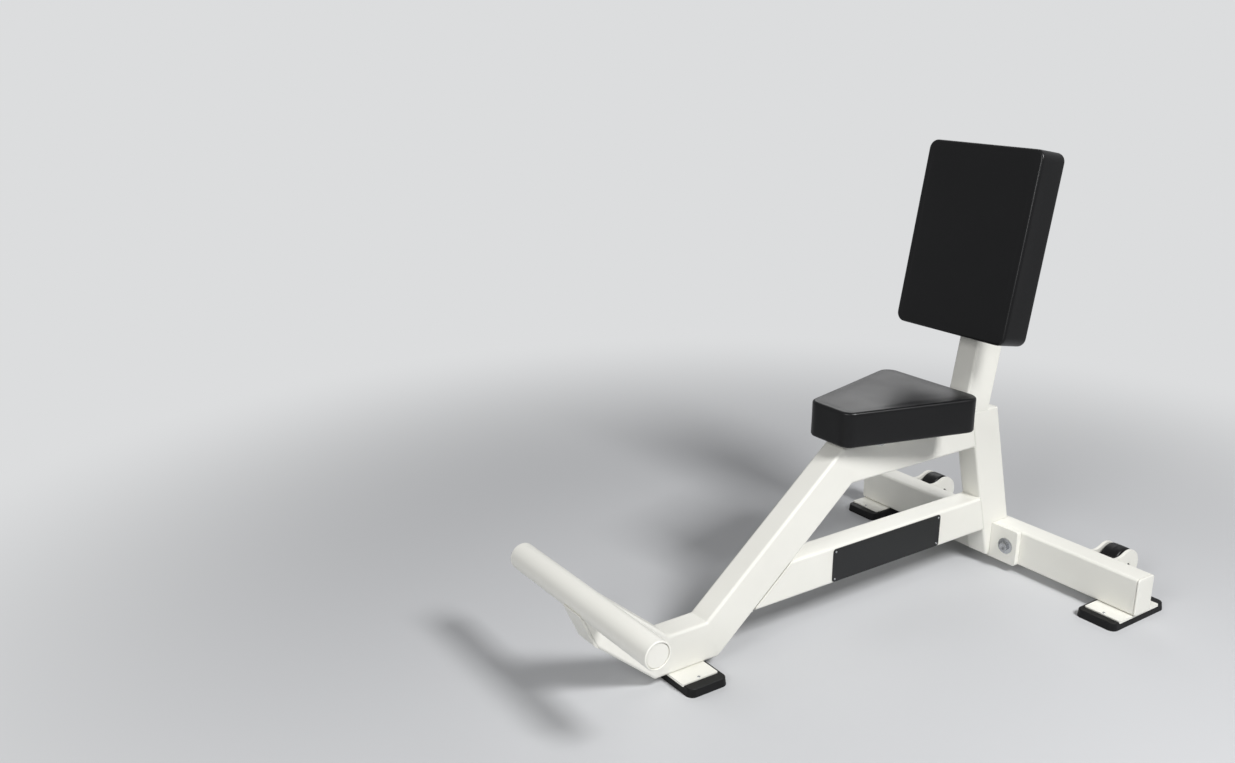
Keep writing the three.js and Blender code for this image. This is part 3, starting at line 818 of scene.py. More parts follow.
@dataclass
class Dresser:
    """Gives pieces their softened edges, their finish and their place on the bench."""

    finishes: dict[Slot, Material]
    edge_mm: float = 0.7
    sharp_degrees: float = 33.0

    def file(
        self,
        piece: Object,
        slot: Slot = Slot.FRAME_COAT,
        body: str = "frame",
        stands_for: Sequence[str] = (),
        finish: Material | None = None,
    ) -> Object:
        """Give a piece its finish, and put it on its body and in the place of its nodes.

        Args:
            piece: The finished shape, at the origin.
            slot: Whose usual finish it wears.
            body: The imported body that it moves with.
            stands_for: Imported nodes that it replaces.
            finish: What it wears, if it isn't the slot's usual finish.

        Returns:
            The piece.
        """
        if not piece.data.materials:
            piece.data.materials.append(finish or self.finishes[slot])
        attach(piece, body)
        if nodes := list(stands_for):
            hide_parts(*nodes)
        LOG.info("%s: %d faces on %s", piece.name, len(piece.data.polygons), body)
        return piece

    def dress(
        self,
        node: str,
        slot: Slot = Slot.FRAME_COAT,
        body: str = "frame",
        edge_mm: float | None = None,
        steps: int = 2,
        finish: Material | None = None,
    ) -> Object:
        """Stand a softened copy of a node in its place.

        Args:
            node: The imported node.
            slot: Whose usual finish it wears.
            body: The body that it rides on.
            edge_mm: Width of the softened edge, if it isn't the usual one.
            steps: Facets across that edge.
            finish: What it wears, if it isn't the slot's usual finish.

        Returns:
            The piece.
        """
        piece = packed_copy(node)
        self.soften(piece, self.edge_mm if edge_mm is None else edge_mm, steps)
        return self.file(piece, slot, body, [node], finish)

    def soften(self, piece: Object, edge_mm: float, steps: int = 2) -> None:
        """Round a piece's sharp edges and keep its flats flat in shading.

        Args:
            piece: The piece.
            edge_mm: Width of the softened edge.
            steps: Facets across that edge.
        """
        edge = piece.modifiers.new("edge", "BEVEL")
        edge.width = edge_mm * MM
        edge.segments = steps
        edge.limit_method = "ANGLE"
        edge.angle_limit = math.radians(self.sharp_degrees)
        edge.use_clamp_overlap = True
        normals = piece.modifiers.new("normals", "WEIGHTED_NORMAL")
        normals.keep_sharp = False

    def fasten(
        self,
        name: str,
        shape: Object,
        spots: Iterable[Vector],
        nodes: Sequence[str] = (),
        turn: Matrix | None = None,
    ) -> Object:
        """Set a fastener on each spot.

        Args:
            name: The fasteners' name.
            shape: One of them, from its seat; it is used up.
            spots: Their seats.
            nodes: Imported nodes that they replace.
            turn: From the spots' own frame to the part's.

        Returns:
            The fasteners as one piece.
        """
        repeat = Repeat(name, shape, self.finishes[Slot.HARDWARE])
        made = repeat.along([[spot] for spot in spots])
        if turn is not None:
            made.data.transform(turn)
        return self.file(made, Slot.HARDWARE, stands_for=nodes)

    def weld(self, bead: WeldBead, paths: Sequence[Ring]) -> Object:
        """Lay a weld bead.

        Args:
            bead: Its sizes.
            paths: Where it runs.

        Returns:
            The bead.
        """
        bm = bmesh.new()
        u, v = bead.segments
        bmesh.ops.create_uvsphere(bm, u_segments=u, v_segments=v, radius=bead.radius_mm * MM)
        bmesh.ops.scale(bm, vec=(bead.squash, 1, 1), verts=bm.verts)
        puddle, coat = mesh_object("weld_puddle", bm), self.finishes[Slot.FRAME_COAT]
        sizes = (bead.ripple_mm, bead.unevenness, bead.seed)
        return self.file(Repeat(bead.name, puddle, coat, Pivot.FREE, *sizes).along(paths))


@dataclass(frozen=True)
class Bend:
    """A mitred bend of the spine, welded and ground flush."""

    low_mm: Span  # the bend's lower and upper ends in side view, as (y, z)
    high_mm: Span
    angles: Span  # directions of the tube that arrives and of the one that leaves


@dataclass
class Spine:
    """The welded tubes in the middle plane, with their weld beads."""

    dresser: Dresser
    half_mm: Span = (25.4, 39.1)  # the tube's half width and half depth
    corner_mm: float = 6.0
    corner_steps: int = 6
    band_mm: float = 5.0  # half the width of a ground weld
    band_rise_mm: float = 0.05  # how proud it is in its middle
    band_edge_mm: float = 0.01  # and at its edges
    band_sink_mm: float = 1.2
    bead: WeldBead = WeldBead("weld_beads", 1.9, 1.5, 0.06, 11)
    bead_end_share: float = 0.6  # of the tube's corner, which the beads leave free
    lid_half_mm: Span = (22.1, 36.6)
    lid_middle_mm: float = 386.6
    lid_level_mm: float = 364.0  # the upright's end
    lid_corner_mm: float = 3.0
    lid_corner_steps: int = 4
    lid_profile_mm: tuple[Span, ...] = ((0.0, -3.0), (0.0, -0.7), (0.5, -0.2))  # inset, level
    nodes: tuple[str, ...] = (
        "base_tube",
        "front_strut",
        "seat_rail",
        "lower_rail",
        "rear_upright",
        "back_post",
        "foot_arm",
        "arm_end_plate",
        "flange_plate",
    )
    bends: tuple[Bend, ...] = (
        Bend((-308.085, 18.5), (-336.548, 96.7), (0.0, 40.0)),
        Bend((-449.985, 18.5), (-421.523, 96.7), (-40.0, 0.0)),
        Bend((10.470, 285.8), (-17.992, 364.0), (40.0, 0.0)),
    )
    # Inside corners that carry a bead across the tube, in side view
    corners_mm: tuple[Span, ...] = (
        (-135.162, 163.6),
        (-228.357, 85.4),
        (397.614, 163.6),
        (418.567, 85.4),
        (364.870, 285.8),
        (396.739, 364.0),
        (317.333, 364.0),
    )

    def build(self) -> list[Object]:
        """Build the spine's pieces.

        Returns:
            The tubes and plates, the post's cap, the welds and the lid.
        """
        made = [self.dresser.dress(node) for node in self.nodes]
        made.append(self.dresser.dress("back_post_cap", Slot.BLACK_PLASTIC))
        return made + [self.ground_welds(), self.beads(), self.upright_lid()]

    def upright_lid(self) -> Object:
        """Make the plate let into the upright's cut end, behind the back post.

        Returns:
            The lid.
        """
        rings = []
        for inset, level in self.lid_profile_mm:
            outline = rounded(self.lid_half_mm, self.lid_corner_mm, -inset, self.lid_corner_steps)
            height = self.lid_level_mm + level
            rings.append([Vector((x, self.lid_middle_mm + y, height)) * MM for x, y in outline])
        return self.dresser.file(shell_object("upright_lid", rings))

    def ground_welds(self) -> Object:
        """Make the bands that close the mitres, hardly proud of the tubes.

        Returns:
            The bands as one piece.
        """
        stacks = []
        for bend in self.bends:
            low, high = Vector(bend.low_mm), Vector(bend.high_mm)
            middle, half = (low + high) / 2, (high - low) / 2
            turns = [math.radians(angle) for angle in bend.angles]
            ways = [Vector((math.cos(turn), math.sin(turn))) for turn in turns]
            shifts = (-self.band_mm * ways[0], Vector((0, 0)), self.band_mm * ways[1])
            rises = (self.band_edge_mm, self.band_rise_mm, self.band_edge_mm)
            outer = list(zip(shifts, rises))
            inner = [(shift, -self.band_sink_mm) for shift in reversed(shifts)]
            rings = []
            for shift, rise in outer + inner:
                ring = []
                for x, up in rounded(self.half_mm, self.corner_mm, rise, self.corner_steps):
                    spot = middle + half * (up / self.half_mm[1]) + shift
                    ring.append(Vector((x, spot.x, spot.y)) * MM)
                rings.append(ring)
            stacks.append(rings)
        return self.dresser.file(shell_object("ground_mitre_welds", *stacks, closed=True))

    def beads(self) -> Object:
        """Lay beads across the inside corners.

        Returns:
            The beads as one piece.
        """
        reach = self.half_mm[0] - self.corner_mm * self.bead_end_share
        ends = (-reach, reach)
        paths = [[Vector((x, y, z)) * MM for x in ends] for y, z in self.corners_mm]
        return self.dresser.weld(self.bead, paths)


@dataclass
class FootBar:
    """The round bar across the arm, with a recessed disc in each end."""

    dresser: Dresser
    edge_mm: float = 0.5

    def build(self) -> list[Object]:
        """Build the bar and its discs."""
        nodes = ["foot_bar"] + [f"foot_bar_cap_{side.word}" for side in Side]
        return [self.dresser.dress(node, edge_mm=self.edge_mm) for node in nodes]


@dataclass
class CrossBeam:
    """The rear beam with its end caps and the two bolts that hold it."""

    dresser: Dresser
    cap_edge_mm: float = 2.2
    cap_edge_steps: int = 4
    bolt: Bolt = Bolt(flats_mm=19.0, head_mm=8.0, radius_mm=6.35, length_mm=81.2, thread_mm=12.0)
    bolt_x_mm: float = 65.0
    bolt_z_mm: float = 57.6
    bolt_seat_mm: float = 441.55
    bolt_turn: float = 0.3  # how each head happened to stop, in radians
    washer_gap_mm: float = 0.3
    # Radius and level round the washer's section, whose upper edge stamping has rounded
    washer_mm: tuple[Span, ...] = (
        (16.7, 0.0), (17.4, 0.4), (17.4, 2.1), (17.0, 2.5), (6.9, 2.5), (6.9, 0.0),
    )
    washer_steps: int = 48
    nut_seat_mm: float = 508.75
    nut_mm: float = 11.0
    nut_turn: float = 0.15
    nut_bore_mm: float = 6.65
    nut_mouth_mm: Span = (7.3, 0.6)  # the bore's countersink: radius and depth

    def build(self) -> list[Object]:
        """Build the beam's pieces.

        Returns:
            The beam, its caps and the fasteners, a piece for each kind.
        """
        made = [self.dresser.dress("cross_beam")]
        edge = {"edge_mm": self.cap_edge_mm, "steps": self.cap_edge_steps}
        made += [self.dresser.dress(f"cross_beam_cap_{side.word}", **edge) for side in Side]
        rings = [circle(*ring, self.washer_steps) for ring in self.washer_mm]
        bolt = shell_object("bolt", *self.bolt.stacks())
        washer = shell_object("washer", rings, closed=True)
        nut = shell_object("nut", self.nut_rings(), closed=True)
        return made + [
            self.pair(bolt, self.bolt_seat_mm, self.bolt_turn),
            self.pair(washer, self.bolt_seat_mm + self.washer_gap_mm),
            self.pair(nut, self.nut_seat_mm, self.nut_turn),
        ]

    def pair(self, shape: Object, seat_mm: float, turn: float = 0.0) -> Object:
        """Set one kind of fastener on both bolts' places.

        Args:
            shape: The fastener along Z from its seat, named by its word in node names.
            seat_mm: Where its seat lies along Y.
            turn: How far it is turned about its axis.

        Returns:
            The pair as one piece.
        """
        part = shape.name
        lay_back = Matrix.Rotation(-math.pi / 2, 4, "X")
        shape.data.transform(lay_back @ Matrix.Rotation(turn, 4, "Z"))
        across = [side.value * self.bolt_x_mm for side in Side]
        spots = [Vector((x, seat_mm, self.bolt_z_mm)) * MM for x in across]
        nodes = [f"flange_{part}_{side.word}" for side in Side]
        return self.dresser.fasten(f"flange_{part}s", shape, spots, nodes)

    def nut_rings(self) -> list[Ring]:
        """Lay out a hexagon nut, chamfered at both ends.

        Returns:
            Its rings, out over the lower face, up the flats and back in.
        """
        flats, top, (mouth, depth) = self.bolt.flats_mm, self.nut_mm, self.nut_mouth_mm
        lower = ((self.nut_bore_mm, depth), (mouth, 0.0), (RIM_SHARE * flats, 0.0))
        upper = ((RIM_SHARE * flats, top), (mouth, top), (self.nut_bore_mm, top - depth))
        sides = [hexagon(flats, 0.0, -CHAMFER), hexagon(flats, top, CHAMFER)]
        return [circle(*ring) for ring in lower] + sides + [circle(*ring) for ring in upper]


@dataclass
class TransportWheel:
    """One wheel: tyre on hub, the pin that it turns on, and the two ears that hold it."""

    dresser: Dresser
    side: Side
    # black oxide, kept dark so that it also paints the shade in the recess of each ear's hole
    pin_finish: Material
    hub_edge_mm: float = 0.6
    tyre_radius_mm: float = 36.0
    tyre_width_mm: float = 38.0
    tyre_thick_mm: float = 11.0
    tyre_steps: int = 72
    shoulder_mm: float = 5.0
    shoulder_drop_mm: float = 0.25  # below the tread's middle
    shoulder_steps: int = 6
    lip_mm: float = 0.6
    # From the middle and below the tread's top: a slight crown, then the line of the mould's halves
    tread_mm: tuple[Span, ...] = ((7.6, 0.08), (0.5, 0.05), (0.15, 0.0))
    pin_mm: float = 6.35
    pin_edge_mm: float = 0.8
    socket_mm: Span = (8.0, 4.0)  # across flats, and deep
    ear_radius_mm: float = 35.5
    ear_fillet_mm: float = 50.0
    ear_neck_mm: float = 27.5  # half the ear's height where it is narrowest
    ear_root_mm: float = 63.6  # from the axle forward to the beam
    ear_steps: tuple[int, int] = (40, 12)  # round its nose, and along each fillet
    ear_edge_mm: float = 0.8
    eye_mm: float = 6.65
    eye_steps: int = 40
    bead: WeldBead = WeldBead("wheel_ear_beads", 1.7, 1.4, 0.07, 23)
    bead_reach_mm: float = 33.0
    bead_gap_mm: float = 0.2

    def build(self) -> list[Object]:
        """Build the wheel's pieces.

        Returns:
            Tyre, hub, pin, ears and their beads.
        """
        node, body = f"wheel_hub_{self.side.word}", self.side.wheel_body
        hub = self.dresser.dress(node, Slot.BLACK_PLASTIC, body, self.hub_edge_mm)
        return [self.tyre(), hub, self.axle(), self.ear("inner"), self.ear("outer"), self.beads()]

    @property
    def axis(self) -> Vector:
        """The middle of the axle."""
        low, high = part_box(f"wheel_axle_{self.side.word}")
        return (low + high) / 2

    def tyre(self) -> Object:
        """Make the tyre: round shoulders, a slight crown and the line that its mould leaves.

        Returns:
            The tyre.
        """
        half, radius, shoulder = self.tyre_width_mm / 2, self.tyre_radius_mm, self.shoulder_mm
        bed = radius - self.tyre_thick_mm
        flank = [(half, bed), (half, bed + self.lip_mm)]
        for step in range(self.shoulder_steps + 1):
            angle = math.pi / 2 * step / self.shoulder_steps
            level = radius - self.shoulder_drop_mm - shoulder * (1 - math.sin(angle))
            flank.append((half - shoulder * (1 - math.cos(angle)), level))
        flank += [(out, radius - drop) for out, drop in self.tread_mm]
        profile = flank + [(-x, r) for x, r in reversed(flank)]
        rings = [circle(r, x, self.tyre_steps) for x, r in profile]
        node = f"wheel_tyre_{self.side.word}"
        piece = shell_object(f"{node}_moulded", rings, closed=True)
        piece.data.transform(Matrix.Translation(self.axis) @ Matrix.Rotation(math.pi / 2, 4, "Y"))
        return self.dresser.file(piece, Slot.TYRE, self.side.wheel_body, [node])

    def ear_outline(self) -> list[Span]:
        """Draw the ear's side view.

        Returns:
            Its points round its eye, as (rearward, up), in millimetres.
        """
        reach = self.ear_radius_mm + self.ear_fillet_mm
        level = self.ear_neck_mm + self.ear_fillet_mm
        middle = math.sqrt(reach**2 - level**2)
        tangent = math.atan2(level, -middle)
        sweep = math.acos((self.ear_root_mm - middle) / self.ear_fillet_mm)
        nose, fillet = self.ear_steps
        starts, ends = (tangent - math.pi, math.pi - sweep), (sweep - math.pi, math.pi - tangent)
        arcs = (
            (0.0, 0.0, self.ear_radius_mm, -tangent, tangent, range(nose + 1), nose),
            (-middle, level, self.ear_fillet_mm, starts[0], ends[0], range(1, fillet + 1), fillet),
            (-middle, -level, self.ear_fillet_mm, starts[1], ends[1], range(fillet), fillet),
        )
        points = []
        for x, y, radius, first, last, steps, count in arcs:
            for step in steps:
                angle = first + (last - first) * step / count
                points.append((x + radius * math.cos(angle), y + radius * math.sin(angle)))
        return points

    def ear(self, edge: str) -> Object:
        """Cut one ear from plate, with the hole for the pin.

        Args:
            edge: Its word in the node's name.

        Returns:
            The ear.
        """
        node = f"wheel_ear_{self.side.word}_{edge}"
        low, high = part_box(node)
        axis, bm, edges = self.axis, bmesh.new(), []
        eye = [(p.x / MM, p.y / MM) for p in circle(self.eye_mm, 0.0, self.eye_steps)]
        for loop in (self.ear_outline(), eye):
            points = [bm.verts.new((low.x, axis.y + u * MM, axis.z + v * MM)) for u, v in loop]
            edges += [bm.edges.new(ends) for ends in zip(points, points[1:] + points[:1])]
        bmesh.ops.triangle_fill(bm, edges=edges, use_beauty=True)
        grown = bmesh.ops.extrude_face_region(bm, geom=bm.faces[:])["geom"]
        moved = [item for item in grown if isinstance(item, BMVert)]
        bmesh.ops.translate(bm, vec=(high.x - low.x, 0, 0), verts=moved)
        join_flats(bm)
        piece = mesh_object(f"{node}_cut", bm)
        self.dresser.soften(piece, self.ear_edge_mm)
        return self.dresser.file(piece, stands_for=[node])

    def beads(self) -> Object:
        """Lay weld beads down both sides of each ear's root.

        Returns:
            The beads as one piece.
        """
        axis, paths = self.axis, []
        root = axis.y - (self.ear_root_mm + self.bead_gap_mm) * MM
        reach = self.bead_reach_mm * MM
        for edge in ("inner", "outer"):
            low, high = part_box(f"wheel_ear_{self.side.word}_{edge}")
            for x in (low.x, high.x):
                paths.append([Vector((x, root, axis.z + level)) for level in (-reach, reach)])
        name = f"{self.bead.name}_{self.side.word}"
        return self.dresser.weld(replace(self.bead, name=name), paths)

    def axle(self) -> Object:
        """Make the shoulder pin, with a hexagon socket in its outer end.

        Returns:
            The pin.
        """
        node = f"wheel_axle_{self.side.word}"
        low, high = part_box(node)
        end, edge = (high.x - low.x) / MM, self.pin_edge_mm
        profile = ((self.pin_mm - edge, 0.0), (self.pin_mm, edge))
        profile += ((self.pin_mm, end - edge), (self.pin_mm - edge, end))
        flats, depth = self.socket_mm
        socket = [hexagon(flats, end), hexagon(flats, end - depth)]
        rings = [circle(radius, level) for radius, level in profile] + socket
        piece = shell_object(f"{node}_turned", rings)
        sign = self.side.value
        start = Vector((low.x if sign > 0 else high.x, self.axis.y, self.axis.z))
        turn = Matrix.Rotation(sign * math.pi / 2, 4, "Y")
        piece.data.transform(Matrix.Translation(start) @ turn)
        finish = self.pin_finish
        return self.dresser.file(piece, Slot.HARDWARE, stands_for=[node], finish=finish)


@dataclass
class FloorFoot:
    """A rubber block with a steel plate let into it and two screws."""

    dresser: Dresser
    row: str
    screws: tuple[str, ...]  # their words in node names
    side: Side | None = None
    rubber_edge_mm: float = 1.0
    rubber_edge_steps: int = 3
    plate_edge_mm: float = 0.5
    # Radius and level up the screw, from its tip to the top of its button head
    screw_mm: tuple[Span, ...] = (
        (1.2, -8.0), (1.6, -7.4), (1.6, 0.02), (2.8, 0.02), (2.7, 0.45), (2.2, 0.9), (1.6, 1.15),
    )
    head_mm: float = 1.2
    socket_mm: Span = (2.2, 0.9)  # across flats, and deep
    screw_steps: int = 24

    def build(self) -> list[Object]:
        """Build the foot's pieces.

        Returns:
            The rubber block, its plate and the screws.
        """
        suffix = f"_{self.side.word}" if self.side else ""
        edge = {"edge_mm": self.rubber_edge_mm, "steps": self.rubber_edge_steps}
        return [
            self.dresser.dress(f"{self.row}_rubber_foot{suffix}", Slot.FOOT_RUBBER, **edge),
            self.dresser.dress(f"{self.row}_foot_plate{suffix}", edge_mm=self.plate_edge_mm),
            self.button_screws(suffix),
        ]

    def button_screws(self, suffix: str) -> Object:
        """Set button-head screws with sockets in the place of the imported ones.

        Args:
            suffix: The end of the foot's node names.

        Returns:
            The screws as one piece.
        """
        flats, depth = self.socket_mm
        rings = [circle(radius, level, self.screw_steps) for radius, level in self.screw_mm]
        for level in (self.head_mm, self.head_mm - depth):
            rings.append(hexagon(flats, level, steps=self.screw_steps))
        nodes = [f"{self.row}_foot_screw{suffix}_{screw}" for screw in self.screws]
        spots = []
        for low, high in map(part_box, nodes):
            middle = (low + high) / 2
            spots.append(Vector((middle.x, middle.y, high.z - self.head_mm * MM)))
        screw = shell_object("screw", rings)
        return self.dresser.fasten(f"{self.row}{suffix}_screws", screw, spots, nodes)


@dataclass
class Pad:
    """A foam pad under vinyl, with its board, steel plate, bolts and staples."""

    dresser: Dresser
    kind: str
    front_mm: float
    rear_mm: float
    length_mm: float
    corner_mm: float
    centre_mm: Triple  # of the pad's underside
    plate_mm: float  # the steel plate's thickness
    bolts_mm: Span  # the bolts' reach from the plate's middle, and that middle
    lean_degrees: float = 0.0  # turn about X from lying flat
    thick_mm: float = 69.9
    edge_mm: float = 5.0
    edge_steps: int = 5
    rim_mm: float = 13.0  # vinyl turned under, round the board
    rim_rings_mm: tuple[float, ...] = (0.0, 2.5, 5.5)  # rings across it, from its inner edge
    board_mm: float = 15.3
    board_edge_mm: float = 0.8
    pull_mm: float = 0.8  # how far the sides pull in between their corners
    cell_mm: float = 7.5
    top_ring_mm: float = 3.5  # from the rounded edge to where the top's grid starts
    arc_steps: int = 10
    side_steps: tuple[int, int] = (24, 34)  # across and along
    start_smaller_mm: float = 0.6  # the skin starts this much lower than the pad, and swells
    side_smaller_mm: float = 0.3  # and its sides start this much further in
    held_share: float = 0.9  # of the lower edge's height, below which the vinyl is held
    under: float = -0.3  # the skin is held where its normal's Z is below this,
    over: float = 0.5  # and it is the top where that is above this
    frames: int = 20
    cloth_quality: int = 6
    cloth_mass: float = 0.3
    pressure: float = 4.0
    stiffness: Triple = (30.0, 15.0, 6.0)  # in tension, shear and bending
    top_cap_mm: float = 2.4  # how far the top may swell
    side_cap_mm: float = 0.7
    firm_mm: float = 38.0  # the top's edges stay low over about this width
    smooth_rounds: int = 14
    smooth_share: float = 0.5  # of a point's move that its neighbours give in each round
    pleats: float = 9.0
    pleat_mm: float = 0.8
    pleat_start_mm: Span = (1.5, 4.0)  # where pleats start, and over what they grow
    pleat_end_mm: float = 0.2  # short of the rim's inner edge
    pleat_powers: Span = (0.5, 0.7)  # less than one fills out the corner, and each fold
    staple_pitch_mm: float = 24.0
    staple_inset_mm: float = 8.5
    staple_mm: Triple = (10.0, 0.55, 0.35)  # crown, wire and rise
    # Along the crown and up, as shares of both: it lies in the vinyl, and its ends turn in
    staple_bends: tuple[Span, ...] = ((-0.5, 2.0), (-0.47, -1.0), (0.47, -1.0), (0.5, 2.0))
    wire_corners: tuple[float, ...] = (0.8, 2.4, 3.9, 5.5)  # in radians, uneven as it is flattened
    wire_flat: float = 0.5  # the wire's height, as a share of its width
    # Its length is the plate's and the board's
    bolt: Bolt = Bolt(flats_mm=14.0, head_mm=4.5, radius_mm=4.8, length_mm=0.0, thread_mm=3.0)
    bolt_across_mm: float = 38.0
    bolt_gap_mm: float = 0.6
    bolt_turn: float = 0.35

    @property
    def turn(self) -> Matrix:
        """From the pad's own frame, lying flat on its underside, to the part's."""
        lean = Matrix.Rotation(math.radians(self.lean_degrees), 4, "X")
        return Matrix.Translation(Vector(self.centre_mm) * MM) @ lean

    @property
    def slope(self) -> float:
        """How far each side leans out towards the rear, in radians."""
        return math.atan2((self.rear_mm - self.front_mm) / 2, self.length_mm)

    @property
    def arc_centres(self) -> Triple:
        """The rear and front corners' distance from the middle, and their place along."""
        rear = self.rear_mm / 2 - self.corner_mm * math.tan(math.pi / 4 + self.slope / 2)
        front = self.front_mm / 2 - self.corner_mm * math.tan(math.pi / 4 - self.slope / 2)
        return rear, front, self.length_mm / 2 - self.corner_mm

    def build(self) -> list[Object]:
        """Build the pad's pieces.

        Returns:
            Cushion, board, plate, staples and bolts.
        """
        ply = StainedPly(f"stained_plywood_{self.kind}", self.lean_degrees).build()
        return [
            self.cushion(),
            self.dresser.dress(
                f"{self.kind}_board", Slot.BOARD, edge_mm=self.board_edge_mm, finish=ply
            ),
            self.dresser.dress(f"{self.kind}_plate"),
            self.staples(),
            self.bolts(),
        ]

    def bolts(self) -> Object:
        """Set the four bolts that hold the pad to its plate.

        Returns:
            The bolts as one piece.
        """
        bolt = replace(self.bolt, length_mm=self.plate_mm + self.board_mm)
        shape = shell_object("bolt", *bolt.stacks())
        shape.data.transform(Matrix.Rotation(self.bolt_turn, 4, "Z"))
        (reach, middle), across = self.bolts_mm, self.bolt_across_mm
        level = -(self.plate_mm + self.bolt_gap_mm)
        places = [(x, y) for x in (-across, across) for y in (middle - reach, middle + reach)]
        spots = [Vector((x, y, level)) * MM for x, y in places]
        ends = [f"{row}_{side.word}" for row in ("front", "rear") for side in Side]
        nodes = [f"{self.kind}_bolt_{end}" for end in ends]
        return self.dresser.fasten(f"{self.kind}_bolts", shape, spots, nodes, self.turn)

    def cushion(self) -> Object:
        """Make the upholstered foam: a skin over its rings, blown up a little and gathered below.

        Returns:
            The cushion.
        """
        piece = mesh_object(f"{self.kind}_cushion", self.skin())
        self.swell(piece)
        finer = piece.modifiers.new("finer", "SUBSURF")
        finer.levels = finer.render_levels = 1
        piece = baked(piece, f"{self.kind}_cushion")
        self.gather(piece.data)
        piece.data.transform(self.turn)
        self.dresser.file(piece, Slot.UPHOLSTERY, stands_for=[f"{self.kind}_pad"])
        return piece

    def outline(self, inset_mm: float, pull_mm: float = 0.0) -> list[Vector]:
        """Draw the pad's outline on its underside, in its own frame.

        Args:
            inset_mm: How far inside the pad's edge it lies.
            pull_mm: How far the middle of each side pulls in.

        Returns:
            The corners' arcs and the sides' points, starting at the rear right corner.
        """
        (rear_x, front_x, y), radius = self.arc_centres, self.corner_mm - inset_mm
        quarter = math.pi / 2
        arcs = (
            (rear_x, y, -self.slope, quarter),
            (-rear_x, y, quarter, math.pi + self.slope),
            (-front_x, -y, math.pi + self.slope, 3 * quarter),
            (front_x, -y, 3 * quarter, math.tau - self.slope),
        )
        points = []
        for index, (x, middle, first, last) in enumerate(arcs):
            for step in range(self.arc_steps + 1):
                angle = first + (last - first) * step / self.arc_steps
                spot = (x + radius * math.cos(angle), middle + radius * math.sin(angle), 0)
                points.append(Vector(spot) * MM)
            next_x, next_y, angle, _ = arcs[(index + 1) % 4]
            spot = (next_x + radius * math.cos(angle), next_y + radius * math.sin(angle), 0)
            start, end = points[-1], Vector(spot) * MM
            inward = -Vector((math.cos(last), math.sin(last), 0)) * MM
            count = self.side_steps[index % 2]
            for step in range(1, count):
                pull = inward * pull_mm * math.sin(math.pi * step / count)
                points.append(start.lerp(end, step / count) + pull)
        return points

    def skin(self) -> BMesh:
        """Lay the skin: pocket, rim, lower edge, sides, upper edge, and a grid over the top.

        Returns:
            The skin.
        """
        edge, height = self.edge_mm, self.thick_mm - self.start_smaller_mm
        side, rim = self.side_smaller_mm, self.rim_mm
        quarter = [math.pi / 2 * step / self.edge_steps for step in range(self.edge_steps + 1)]
        # Each ring's inset from the pad's edge, its level, and its pull
        stack = [(rim, self.board_mm, 0.0), (rim, self.board_mm / 2, 0.0)]
        stack += [(rim - out, 0.0, 0.0) for out in self.rim_rings_mm]
        rounding = [(side + edge * (1 - math.sin(a)), edge * (1 - math.cos(a))) for a in quarter]
        stack += [(inset, level, 0.0) for inset, level in rounding]
        wall = height - 2 * edge
        rows = round(wall / self.cell_mm)
        for row in range(1, rows):
            pull = self.pull_mm * math.sin(math.pi * row / rows)
            stack.append((side, edge + wall * row / rows, pull))
        stack += [(inset, height - level, 0.0) for inset, level in reversed(rounding)]
        stack += [(side + edge + self.top_ring_mm, height, 0.0)]
        bm, rings = bmesh.new(), []
        for inset, level, pull in stack:
            up = Vector((0, 0, level * MM))
            rings.append([bm.verts.new(point + up) for point in self.outline(inset, pull)])
        for low, high in zip(rings, rings[1:]):
            join_rings(bm, low, high)
        bm.faces.new(list(reversed(rings[0])))
        self.fill_top(bm, rings[-1])
        return bm

    def fill_top(self, bm: BMesh, ring: list[BMVert]) -> None:
        """Close the top ring with a grid that eases from side to side.

        Args:
            bm: The mesh.
            ring: The last ring, in the order of outline().
        """
        across, along = (self.arc_steps + steps for steps in self.side_steps)
        start = self.arc_steps // 2
        turned = ring[start:] + ring[:start]
        rear = list(reversed(turned[: across + 1]))
        left = list(reversed(turned[across : across + along + 1]))
        front = turned[across + along : 2 * across + along + 1]
        right = turned[2 * across + along :] + turned[:1]
        grid = [front]
        for j in range(1, along):
            v = j / along
            row = [left[j]]
            for i in range(1, across):
                u = i / across
                spot = front[i].co * (1 - v) + rear[i].co * v
                spot = spot + left[j].co * (1 - u) + right[j].co * u
                low = front[0].co * (1 - u) + front[-1].co * u
                high = rear[0].co * (1 - u) + rear[-1].co * u
                row.append(bm.verts.new(spot - low * (1 - v) - high * v))
            grid.append(row + [right[j]])
        grid.append(rear)
        for low, high in zip(grid, grid[1:]):
            for i in range(across):
                bm.faces.new((low[i], low[i + 1], high[i + 1], high[i]))

